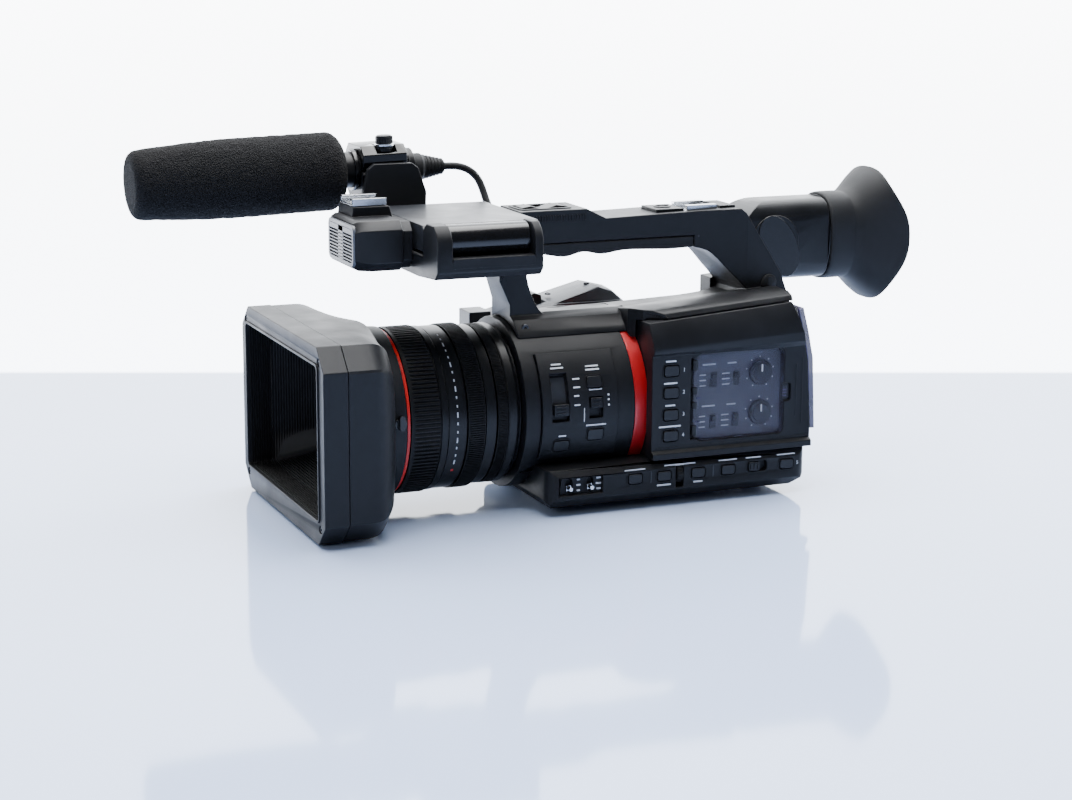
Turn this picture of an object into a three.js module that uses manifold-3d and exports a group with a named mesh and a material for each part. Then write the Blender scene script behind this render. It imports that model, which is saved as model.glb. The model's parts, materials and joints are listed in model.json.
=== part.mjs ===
// Handheld camcorder with a 20x zoom lens, matte-box style hood, handle, viewfinder and shotgun microphone.
// Units are millimetres. +Z is up, the lens looks along -Y, and +X is the operator's left.
// The origin is on the bottom face, under the body, in the plane of the lens axis.

import * as THREE from 'three';
import { mergeVertices } from 'three/addons/utils/BufferGeometryUtils.js';
import Module from 'manifold-3d';

const wasm = await Module();
wasm.setup();

// ---- driving dimensions ----
const GAP = 0.35;               // running clearance between neighbouring pieces
const LENS_Z = 57;              // height of the lens axis
const ROUND = 40;               // segments in a full turn

const HOOD_FRONT = -192;
const HOOD_SEAM = -178;
const HOOD_HALF_WIDTH = 78.5;
const HOOD_TOP = 110.5;
const HOOD_BOTTOM = 1;
const HOOD_CHAMFER = 12.5;
const HOOD_OPENING = { width: 137, height: 85.5, z: 57.5 };

const HOUSING_R = 50;           // fixed housing round the lens
const HOUSING_FRONT = -63.5;
const BAND_FRONT = 4.5;
const BAND_REAR = 12.7;
const BODY_REAR = 115;

const BASE_TOP = 27;
const BASE_BOTTOM = 4;
const SIDE_X = 58;              // left side panel face
const STRIP_X = 60;             // left face of the base's control strip
const CORE_X = 50;              // left face of the main housing, behind the side panel

const HANDLE_TOP = 168;
const HANDLE_HALF = 16;
const POST_HALF = 21.4;         // the handle widens to this round the viewfinder hinge
const PIVOT = { y: 110, z: 144 };   // viewfinder hinge axis
const EVF_HALF_WIDTH = 18;
const EVF_HALF_HEIGHT = 24;
const EVF_REAR = 147;

const MIC = { x: -63, z: 188.5 };
const MIC_R = 10.5;
const FOAM_R = { front: 20.4, rear: 23.3 };

const SHOE = { width: 22, length: 19.7, lip: 1.6 };

// ---- materials ----
const finish = (color, roughness, metalness = 0) => ({ color, roughness, metalness });
const CHARCOAL = finish(0x22252b, 0.62);
const GRAPHITE = finish(0x2b2e35, 0.55);
const SATIN_GRAY = finish(0x474b54, 0.48);
const BLACK = finish(0x101114, 0.5);
const RUBBER = finish(0x0d0e10, 0.85);
const RED = finish(0xb8141b, 0.35, 0.3);
const CHROME = finish(0xb9bdc2, 0.2, 1);
const STEEL = finish(0x6f747a, 0.4, 1);
const GLASS = finish(0x1a2233, 0.08);
const CLEAR = finish(0x6d6880, 0.12);
const FOAM = finish(0x111111, 1);

const camcorder = new THREE.Group();
camcorder.name = 'camcorder';

// ---- solids: geometry to manifold and back ----
function solid(shape) {
  if (!(shape instanceof THREE.BufferGeometry)) return shape;
  const bare = shape.clone();
  bare.deleteAttribute('normal');
  bare.deleteAttribute('uv');
  const merged = mergeVertices(bare, 1e-4);
  const position = merged.attributes.position.array;
  const index = merged.index.array;
  const triangles = [];
  let volume = 0;
  const corner = (i) => new THREE.Vector3(position[3 * i], position[3 * i + 1], position[3 * i + 2]);
  for (let t = 0; t < index.length; t += 3) {
    const [a, b, c] = [index[t], index[t + 1], index[t + 2]];
    if (a === b || b === c || a === c) continue;
    triangles.push(a, b, c);
    volume += corner(a).dot(corner(b).cross(corner(c)));
  }
  if (volume < 0) triangles.reverse();
  return new wasm.Manifold(new wasm.Mesh({
    numProp: 3,
    vertProperties: new Float32Array(position),
    triVerts: new Uint32Array(triangles),
  }));
}

const join = (...shapes) => shapes.map(solid).reduce((whole, next) => whole.add(next));
const cut = (base, ...tools) => tools.map(solid).reduce((left, tool) => left.subtract(tool), solid(base));
const meet = (...shapes) => shapes.map(solid).reduce((whole, next) => whole.intersect(next));

function geometryOf(manifold) {
  const mesh = manifold.getMesh();
  const geometry = new THREE.BufferGeometry();
  geometry.setAttribute('position', new THREE.BufferAttribute(Float32Array.from(mesh.vertProperties), 3));
  geometry.setIndex(new THREE.BufferAttribute(Uint32Array.from(mesh.triVerts), 1));
  geometry.computeVertexNormals();
  return geometry;
}

function part(name, shape, look) {
  const mesh = new THREE.Mesh(geometryOf(solid(shape)), new THREE.MeshStandardMaterial(look));
  mesh.name = name;
  camcorder.add(mesh);
  return mesh;
}

// ---- outlines ----
const polygon = (points) => new THREE.Shape(points.map(([u, v]) => new THREE.Vector2(u, v)));

function roundedRect(u, v, width, height, radius) {
  const shape = new THREE.Shape();
  const [a, b] = [width / 2 - radius, height / 2 - radius];
  shape.absarc(u + a, v + b, radius, 0, Math.PI / 2);
  shape.absarc(u - a, v + b, radius, Math.PI / 2, Math.PI);
  shape.absarc(u - a, v - b, radius, Math.PI, 1.5 * Math.PI);
  shape.absarc(u + a, v - b, radius, 1.5 * Math.PI, 2 * Math.PI);
  shape.closePath();
  return shape;
}

function chamferedRect(left, right, bottom, top, chamfer) {
  return polygon([
    [left + chamfer, bottom], [right - chamfer, bottom], [right, bottom + chamfer], [right, top - chamfer],
    [right - chamfer, top], [left + chamfer, top], [left, top - chamfer], [left, bottom + chamfer],
  ]);
}

// ---- prisms: an outline pushed along one axis ----
const AXES = {
  x: new THREE.Matrix4().makeBasis(
    new THREE.Vector3(0, 1, 0), new THREE.Vector3(0, 0, 1), new THREE.Vector3(1, 0, 0)),
  y: new THREE.Matrix4().makeBasis(
    new THREE.Vector3(1, 0, 0), new THREE.Vector3(0, 0, 1), new THREE.Vector3(0, -1, 0)),
  z: new THREE.Matrix4(),
};

function prism(axis, shape, from, to, curveSegments = 4) {
  const geometry = new THREE.ExtrudeGeometry(shape, { depth: to - from, bevelEnabled: false, curveSegments });
  geometry.translate(0, 0, axis === 'y' ? -to : from);
  return geometry.applyMatrix4(AXES[axis]);
}

function block(x0, x1, y0, y1, z0, z1) {
  return prism('z', polygon([[x0, y0], [x1, y0], [x1, y1], [x0, y1]]), z0, z1);
}

function rod(axis, radius, from, to, u, v, segments = 20) {
  const circle = new THREE.Shape();
  circle.absarc(u, v, radius, 0, 2 * Math.PI);
  const sides = Math.max(2, Math.round(segments / 2));
  return prism(axis, circle, from, to, sides);
}

// A ring or tube round the lens axis; the profile is a closed list of [radius, y].
function turned(profile, x = 0, z = LENS_Z, segments = ROUND) {
  const closed = [...profile, profile[0]].map(([r, y]) => new THREE.Vector2(r, y));
  return new THREE.LatheGeometry(closed, segments).translate(x, 0, z);
}

function tube(outer, inner, from, to, x = 0, z = LENS_Z, segments = ROUND) {
  return turned([[inner, from], [outer, from], [outer, to], [inner, to]], x, z, segments);
}

// A closed skin through sections that all have the same number of points.
function loft(sections) {
  const count = sections[0].length;
  const vertices = sections.flat().flatMap((p) => [p.x, p.y, p.z]);
  const index = [];
  for (let s = 0; s + 1 < sections.length; s += 1) {
    for (let i = 0; i < count; i += 1) {
      const j = (i + 1) % count;
      const [a, b] = [s * count + i, s * count + j];
      index.push(a, b, b + count, a, b + count, a + count);
    }
  }
  const last = (sections.length - 1) * count;
  for (let i = 1; i + 1 < count; i += 1) {
    index.push(0, i + 1, i);
    index.push(last, last + i, last + i + 1);
  }
  const geometry = new THREE.BufferGeometry();
  geometry.setAttribute('position', new THREE.Float32BufferAttribute(vertices, 3));
  geometry.setIndex(index);
  return geometry;
}

// Turns a shape made on the +X side of the lens axis up round that axis.
function onHousing(geometry, degrees) {
  return geometry.rotateY(-THREE.MathUtils.degToRad(degrees)).translate(0, 0, LENS_Z);
}

const heightToAngle = (z) => THREE.MathUtils.radToDeg(Math.asin((z - LENS_Z) / HOUSING_R));

// ---- lens hood ----
const DIRECTIONS = [];
{
  const half = HOOD_HALF_WIDTH;
  const up = (HOOD_TOP - HOOD_BOTTOM) / 2;
  const corners = [];
  for (const [u, v] of [[half, up - HOOD_CHAMFER], [half - HOOD_CHAMFER, up]]) {
    corners.push(Math.atan2(v, u), Math.atan2(v, -u), Math.atan2(-v, -u), Math.atan2(-v, u));
  }
  const even = Array.from({ length: 20 }, (_, i) => -Math.PI + ((i + 0.5) * 2 * Math.PI) / 20);
  DIRECTIONS.push(...[...corners, ...even].sort((a, b) => a - b));
}

function hoodSection(y, halfWidth, bottom, top, chamfer) {
  const [middle, up] = [(top + bottom) / 2, (top - bottom) / 2];
  return DIRECTIONS.map((angle) => {
    const [c, s] = [Math.cos(angle), Math.sin(angle)];
    const toSide = halfWidth / Math.abs(c);
    const toEnd = up / Math.abs(s);
    const toChamfer = (halfWidth + up - chamfer) / (Math.abs(c) + Math.abs(s));
    const reach = Math.min(toSide, toEnd, toChamfer);
    return new THREE.Vector3(reach * c, y, middle + reach * s);
  });
}

const ringSection = (y, radius) =>
  DIRECTIONS.map((a) => new THREE.Vector3(radius * Math.cos(a), y, LENS_Z + radius * Math.sin(a)));

const HOOD_MOUNT_Y = -133.9;
const HOOD_NECK_Y = -144;
const BARREL_NOSE_R = 44;

function lensHood() {
  const opening = roundedRect(0, HOOD_OPENING.z, HOOD_OPENING.width, HOOD_OPENING.height, 3);
  const frame = chamferedRect(-HOOD_HALF_WIDTH, HOOD_HALF_WIDTH, HOOD_BOTTOM, HOOD_TOP, HOOD_CHAMFER);
  const bezelHole = prism('y', opening, HOOD_FRONT - 1, HOOD_SEAM + 1);
  let bezel = cut(prism('y', frame, HOOD_FRONT, HOOD_SEAM), bezelHole);
  for (const x of [-HOOD_HALF_WIDTH + 9, HOOD_HALF_WIDTH - 9]) {
    for (const z of [HOOD_BOTTOM + 9.5, HOOD_TOP - 8]) {
      bezel = cut(bezel, rod('y', 2.2, HOOD_FRONT - 1, HOOD_FRONT + 3, x, z, 12));
    }
  }
  part('hood_bezel', bezel, GRAPHITE);

  const outer = loft([
    hoodSection(HOOD_SEAM + GAP, HOOD_HALF_WIDTH - 0.4, HOOD_BOTTOM + 0.4, HOOD_TOP - 0.4, HOOD_CHAMFER),
    hoodSection(-163, HOOD_HALF_WIDTH - 1.2, HOOD_BOTTOM + 1, HOOD_TOP - 0.8, HOOD_CHAMFER),
    hoodSection(-156, HOOD_HALF_WIDTH - 3, HOOD_BOTTOM + 2, HOOD_TOP - 1.6, 16),
    hoodSection(-149, HOOD_HALF_WIDTH - 12, HOOD_BOTTOM + 4.5, HOOD_TOP - 4, 33),
    ringSection(HOOD_NECK_Y, 52),
    ringSection(HOOD_MOUNT_Y - 4, 50),
    ringSection(HOOD_MOUNT_Y, 48.6),
  ]);
  const halfOpening = HOOD_OPENING.width / 2;
  const inner = loft([
    hoodSection(HOOD_SEAM - 1, halfOpening, 14.7, 100.3, 3),
    hoodSection(-151, halfOpening - 11, 25, 92, 12),
    hoodSection(-150.8, BARREL_NOSE_R + GAP, LENS_Z - 44, LENS_Z + 44, 26),
  ]);
  const mountBore = rod('y', BARREL_NOSE_R + GAP, -152, HOOD_MOUNT_Y + 1, 0, LENS_Z, ROUND);
  const leverSeat = block(49, 56, -143.2, -134.8, 54.5, 66.5);
  part('hood_shell', cut(outer, inner, mountBore, leverSeat), GRAPHITE);

  const lever = join(
    rod('x', 3.6, 49.3, 51.6, -139, 60.5, 20),
    prism('x', roundedRect(-139, 61.5, 3.4, 8.6, 1.5), 51.2, 54.4),
  );
  part('hood_lock_lever', lever, BLACK);
}

// ---- lens barrel and its three rings ----
const RINGS = {
  red: { from: -133.5, to: -131.9, r: 47.2 },
  focus: { from: -131.5, to: -114, r: 48.1 },
  zoom: { from: -97.5, to: -87, r: 47.7 },
  iris: { from: -79, to: -73, r: 46.4 },
};
const GROOVE_R = 41;

function lensBarrel() {
  const groove = ({ from, to }) => [[46.5, from - GAP], [GROOVE_R, from - GAP], [GROOVE_R, to + GAP]];
  const profile = [
    [38.2, -139], [BARREL_NOSE_R, -139], [BARREL_NOSE_R, RINGS.focus.from - GAP],
    [GROOVE_R, RINGS.focus.from - GAP], [GROOVE_R, RINGS.focus.to + GAP],
    [46.5, RINGS.focus.to + GAP], ...groove(RINGS.zoom),
    [45, RINGS.zoom.to + GAP], [45, RINGS.iris.from - GAP],
    [GROOVE_R, RINGS.iris.from - GAP], [GROOVE_R, RINGS.iris.to + GAP],
    [46.2, RINGS.iris.to + GAP], [46.2, -67.5], [44, HOUSING_FRONT - GAP],
    [40, HOUSING_FRONT - GAP], [40, -40], [30, -40], [30, -125], [38.2, -127.5],
  ];
  part('lens_barrel', turned(profile), BLACK);
  part('red_ring', tube(RINGS.red.r, BARREL_NOSE_R + GAP, RINGS.red.from, RINGS.red.to), RED);
  for (const name of ['focus', 'zoom', 'iris']) {
    const ring = RINGS[name];
    part(`${name}_ring`, tube(ring.r, GROOVE_R + GAP, ring.from, ring.to), RUBBER);
  }
  const element = turned([[0.01, -137.5], [20, -136], [37.8, -131.2], [37.8, -127.6], [0.01, -131]]);
  part('front_lens', element, GLASS);
}

// ---- fixed housing round the lens ----
const PANEL = { y0: -54, y1: -7, bottom: -30, top: 42, outer: 51.6, floor: 47.4 };

function sector(inner, outer, y0, y1, bottomDegrees, topDegrees) {
  const [a, b] = [bottomDegrees, topDegrees].map(THREE.MathUtils.degToRad);
  const shape = new THREE.Shape();
  shape.absarc(0, 0, outer, a, b, false);
  shape.absarc(0, 0, inner, b, a, true);
  shape.closePath();
  return prism('y', shape, y0, y1, 12).translate(0, 0, LENS_Z);
}

function panelPocket(y, z, width, height, depth = 48.3) {
  const pocket = prism('x', roundedRect(0, 0, width, height, 1.6), depth, 60, 2).translate(0, y, 0);
  return onHousing(pocket, heightToAngle(z));
}

const PANEL_BUTTONS = {
  focus_assist_button: { y: -21.3, z: 74.4, width: 9, height: 6.4 },
  push_auto_button: { y: -21, z: 45, width: 9.6, height: 6.8 },
  iris_button: { y: -41.6, z: 39.8, width: 9.6, height: 6.8 },
};
const ND_SLOT = { y: -42.9, from: -3.5, to: 27.5, width: 10.4 };
const ND_KNOB = { angle: 4, half: 3.6 };
const FOCUS_SLOT = { y: -21, from: -3, to: 11 };
const FOCUS_KNOB = { angle: 7, half: 3.2 };

function lensHousing() {
  const lowCut = block(-60, 60, -54.5, 20, -5, BASE_TOP + GAP);
  const topCut = block(-60, 60, -70, 20, 106.2, 130);
  const gripCut = block(-60, -46, -70, 20, 0, 120);
  const [low, high] = [PANEL.bottom - 0.5, PANEL.top + 0.5];
  const seat = sector(PANEL.floor - GAP, 60, PANEL.y0 - GAP, PANEL.y1 + GAP, low, high);
  const housing = cut(
    tube(HOUSING_R, 40.4, HOUSING_FRONT, BAND_FRONT - GAP),
    lowCut, topCut, gripCut, seat,
  );
  part('barrel_housing', housing, CHARCOAL);

  const bandCut = block(-60, -46, 0, 20, 0, 120);
  const band = cut(tube(HOUSING_R - 0.4, 41, BAND_FRONT, BAND_REAR), lowCut, topCut, bandCut);
  part('accent_band', band, RED);

  const plate = sector(PANEL.floor, PANEL.outer, PANEL.y0, PANEL.y1, PANEL.bottom, PANEL.top);
  const pockets = Object.values(PANEL_BUTTONS)
    .map(({ y, z, width, height }) => panelPocket(y, z, width + 0.8, height + 0.8));
  const half = ND_SLOT.width / 2;
  pockets.push(sector(48.3, 60, ND_SLOT.y - half, ND_SLOT.y + half, ND_SLOT.from, ND_SLOT.to));
  pockets.push(sector(48.3, 60, FOCUS_SLOT.y - 4.2, FOCUS_SLOT.y + 4.2, FOCUS_SLOT.from, FOCUS_SLOT.to));
  part('control_panel', cut(plate, ...pockets), CHARCOAL);

  for (const [name, { y, z, width, height }] of Object.entries(PANEL_BUTTONS)) {
    const cap = prism('x', roundedRect(0, 0, width, height, 1.3), 49.5, 52.3, 2).translate(0, y, 0);
    part(name, onHousing(cap, heightToAngle(z)), GRAPHITE);
  }
  const slider = sector(48.8, 53, ND_SLOT.y - 4.4, ND_SLOT.y + 4.4, ND_KNOB.angle - ND_KNOB.half,
    ND_KNOB.angle + ND_KNOB.half);
  part('nd_filter_slider', slider, GRAPHITE);
  const focusSwitch = sector(48.8, 52.6, FOCUS_SLOT.y - 3.6, FOCUS_SLOT.y + 3.6,
    FOCUS_KNOB.angle - FOCUS_KNOB.half, FOCUS_KNOB.angle + FOCUS_KNOB.half);
  part('focus_mode_switch', focusSwitch, GRAPHITE);
}

// ---- main body ----
const BROW_RISE = 0.072;        // the top seam climbs towards the rear
const WINDOW = { y0: 39, y1: 97, z0: 36.6, z1: 88, floor: 53 };
const USER_BUTTONS = [79.7, 66.8, 53.8, 41.4];
const USER_Y = 23;
const KNOBS = [73.9, 49.9];
const KNOB_Y = 83;
const BATTERY = { x0: -22, x1: 18, y0: 84, y1: BODY_REAR, z0: 34, z1: 92 };

const REAR_CURVE = polygon([
  [0, 0], [BODY_REAR, 0], [BODY_REAR, 40], [112, 80], [108.5, 97], [103.5, 116], [103.5, 130], [0, 130],
]);

function climb(geometry) {
  const positions = geometry.attributes.position;
  for (let i = 0; i < positions.count; i += 1) {
    const [y, z] = [positions.getY(i), positions.getZ(i)];
    const share = THREE.MathUtils.clamp((z - 88.5) / 10, 0, 1);
    positions.setZ(i, z + share * BROW_RISE * (y - 11));
  }
  return geometry;
}

function mainBody() {
  const section = polygon([
    [-46, BASE_TOP + GAP], [CORE_X, BASE_TOP + GAP], [CORE_X, 96], [42, 106], [10, 106],
    [-20, 98.5], [-46, 87],
  ]);
  const shell = meet(climb(prism('y', section, BAND_REAR + GAP, BODY_REAR)), prism('x', REAR_CURVE, -60, 80));
  const cavity = block(-42, CORE_X + 5, 17, 80, BASE_TOP + 4, 84);
  const bay = block(BATTERY.x0 - GAP, BATTERY.x1 + GAP, BATTERY.y0 - GAP, BODY_REAR + 5,
    BATTERY.z0 - GAP, BATTERY.z1 + GAP);
  part('main_housing', cut(shell, cavity, bay), CHARCOAL);

  const battery = block(BATTERY.x0, BATTERY.x1, BATTERY.y0, BATTERY.y1, BATTERY.z0, BATTERY.z1);
  part('battery', battery, BLACK);
  part('sensor_block', join(block(-22, 22, 22, 30, 35, 79), rod('y', 17, 19, 26, 0, LENS_Z)), STEEL);

  // left side: a panel under an overhanging brow whose top edge climbs to the rear
  const sideSection = polygon([
    [CORE_X + 0.4, BASE_TOP + 1], [STRIP_X + 0.5, BASE_TOP + 1], [STRIP_X + 0.5, BASE_TOP + 4.5],
    [SIDE_X, BASE_TOP + 6], [SIDE_X, 88.5], [SIDE_X + 2.2, 90.3], [SIDE_X + 2.2, 93.5],
    [52.3, 107], [42.6, 107], [CORE_X + 0.4, 96.2],
  ]);
  const side = climb(prism('y', sideSection, 11, BODY_REAR + 0.5));
  const lowRelief = rod('y', HOUSING_R + GAP, 8, BAND_REAR + GAP, 0, LENS_Z, ROUND);
  const windowShape = roundedRect((WINDOW.y0 + WINDOW.y1) / 2, (WINDOW.z0 + WINDOW.z1) / 2,
    WINDOW.y1 - WINDOW.y0, WINDOW.z1 - WINDOW.z0, 4);
  let panel = cut(side, lowRelief, prism('x', windowShape, WINDOW.floor, 70));
  for (const z of USER_BUTTONS) {
    panel = cut(panel, prism('x', roundedRect(USER_Y, z, 9.8, 6.8, 1.6), 54.6, 60, 2));
  }
  const hingeRelief = block(55.4, 60, WINDOW.y0 - 3.2, WINDOW.y0 + 1, 38, 86.5);
  const thumbNotch = prism('x', roundedRect(WINDOW.y1 + 0.5, 61.5, 8, 11, 2), 55.6, 60, 3);
  panel = cut(panel, hingeRelief, thumbNotch);
  part('side_panel', meet(panel, prism('x', REAR_CURVE, 0, 80)), CHARCOAL);

  USER_BUTTONS.forEach((z, i) => {
    part(`user_button_${i + 1}`, prism('x', roundedRect(USER_Y, z, 9, 6, 1.3), 55.7, 58.9, 2), GRAPHITE);
  });
  KNOBS.forEach((z, i) => {
    const dial = join(rod('x', 7.1, WINDOW.floor + 0.3, 55.6, KNOB_Y, z, 32),
      rod('x', 5.4, 55.4, 56.3, KNOB_Y, z, 24));
    part(`audio_level_knob_${i + 1}`, dial, BLACK);
  });

  // clear cover over the audio controls, hinged on its front edge
  const coverShape = roundedRect((WINDOW.y0 + WINDOW.y1) / 2 + 0.6, (WINDOW.z0 + WINDOW.z1) / 2,
    WINDOW.y1 - WINDOW.y0 - 2.2, WINDOW.z1 - WINDOW.z0 - 1, 3.6);
  const cover = join(
    prism('x', coverShape, 56.7, 58.1),
    rod('z', 1.3, 40, 85, 57.2, WINDOW.y0 - 0.4, 12),
    block(56.7, 58.1, WINDOW.y0 - 0.4, WINDOW.y0 + 3, 40, 85),
    prism('x', roundedRect(WINDOW.y1 - 0.4, 61.5, 5, 8, 1.2), 57, 58.9, 3),
  );
  part('audio_cover', cover, CLEAR);

  // clear door over the card slots on the rear left corner
  const doorSkin = polygon([
    [BODY_REAR + 0.5, 38], [112.5, 80.1], [109, 97.2], [105.6, 110], [108.8, 111], [112.4, 98],
    [116.2, 80.6], [118.4, 38],
  ]);
  const doorHollow = prism('x', doorSkin, 26, SIDE_X - 3).translate(0, -1.6, 0);
  const door = cut(prism('x', doorSkin, 24, SIDE_X - 0.6), doorHollow);
  part('card_door', door, CLEAR);
}

// ---- base with the row of controls ----
const STRIP_Z = 18.5;
const STRIP_BUTTONS = {
  shutter_button: 0, menu_button: 18.5, exit_button: 40.5, display_button: 60.1, slot_button: 98.7,
};
const GAIN_Y = -40.2;
const WHITE_Y = -27.1;
const DIAL_Y = 28.8;
const AUTO_Y = 79.3;

function base() {
  const across = polygon([
    [-42, BASE_BOTTOM], [53, BASE_BOTTOM], [STRIP_X, 10], [STRIP_X, 23], [57, BASE_TOP],
    [-46, BASE_TOP], [-46, 8],
  ]);
  const plan = roundedRect(7, 29.5, 106, 167, 8);
  const along = polygon([
    [-54, 9], [-50, BASE_BOTTOM], [105, BASE_BOTTOM], [113, 12], [113, BASE_TOP], [-54, BASE_TOP],
  ]);
  let body = meet(prism('y', across, -60, 120), prism('z', plan, 0, 40), prism('x', along, -60, 70));
  for (const y of Object.values(STRIP_BUTTONS)) {
    body = cut(body, prism('x', roundedRect(y, STRIP_Z, 9.2, 6.2, 1.6), 56.6, 62, 2));
  }
  const switchWell = block(57.2, 62, GAIN_Y - 7, WHITE_Y + 7, 12.3, 22.5);
  const gainSlot = prism('x', roundedRect(GAIN_Y, 17.5, 4, 8, 1.8), 54, 62, 3);
  const whiteSlot = prism('x', roundedRect(WHITE_Y, 17.5, 4, 8, 1.8), 54, 62, 3);
  const dialSlot = block(50, 62, DIAL_Y - 2.4, DIAL_Y + 2.4, 11, 26.9);
  const autoSlot = prism('x', roundedRect(AUTO_Y, STRIP_Z + 0.3, 13, 6.4, 2), 57, 62, 3);
  const tripodPocket = block(-22, 22, -12, 52, 0, BASE_BOTTOM + 1);
  const barrelRelief = rod('y', 40.6, -60, -39, 0, LENS_Z, ROUND);
  body = cut(body, switchWell, gainSlot, whiteSlot, dialSlot, autoSlot, tripodPocket, barrelRelief);
  for (const x of [-34, 30]) {
    for (const y of [-38, 92]) {
      body = join(body, rod('z', 6, 0, BASE_BOTTOM + 0.5, x, y, 16));
    }
  }
  part('base_housing', body, CHARCOAL);

  const shoe = cut(
    prism('z', roundedRect(0, 20, 42, 62, 5), 0, BASE_BOTTOM + 1 - GAP),
    rod('z', 4.8, -1, 6, 0, 30, 24),
    rod('z', 2.6, -1, 6, 0, 44, 16),
  );
  part('tripod_plate', shoe, STEEL);

  for (const [name, y] of Object.entries(STRIP_BUTTONS)) {
    part(name, prism('x', roundedRect(y, STRIP_Z, 8.4, 5.4, 1.3), 57.8, 60.8, 2), GRAPHITE);
  }
  for (const [name, y] of [['gain_switch', GAIN_Y], ['white_balance_switch', WHITE_Y]]) {
    const lever = join(block(54.4, 56.6, y - 1.5, y + 1.5, 14.4, 17.6), rod('x', 1.25, 56, 60.4, y, 16, 12));
    part(name, lever, CHROME);
  }
  part('menu_dial', rod('y', 5.2, DIAL_Y - 1.9, DIAL_Y + 1.9, 56.2 - 0.4, STRIP_Z, 24), RUBBER);
  const autoKnob = roundedRect(AUTO_Y - 2, STRIP_Z + 0.3, 7.4, 5.4, 1.2);
  part('auto_manual_switch', prism('x', autoKnob, 57.4, 60.7, 3), GRAPHITE);
}

// ---- handle ----
const PAD = { y0: -40, y1: 57, top: 150.2 };
const TRAY = { y0: -125, y1: -63, x0: -42, x1: 72, z0: 142.5, z1: 153 };

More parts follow.
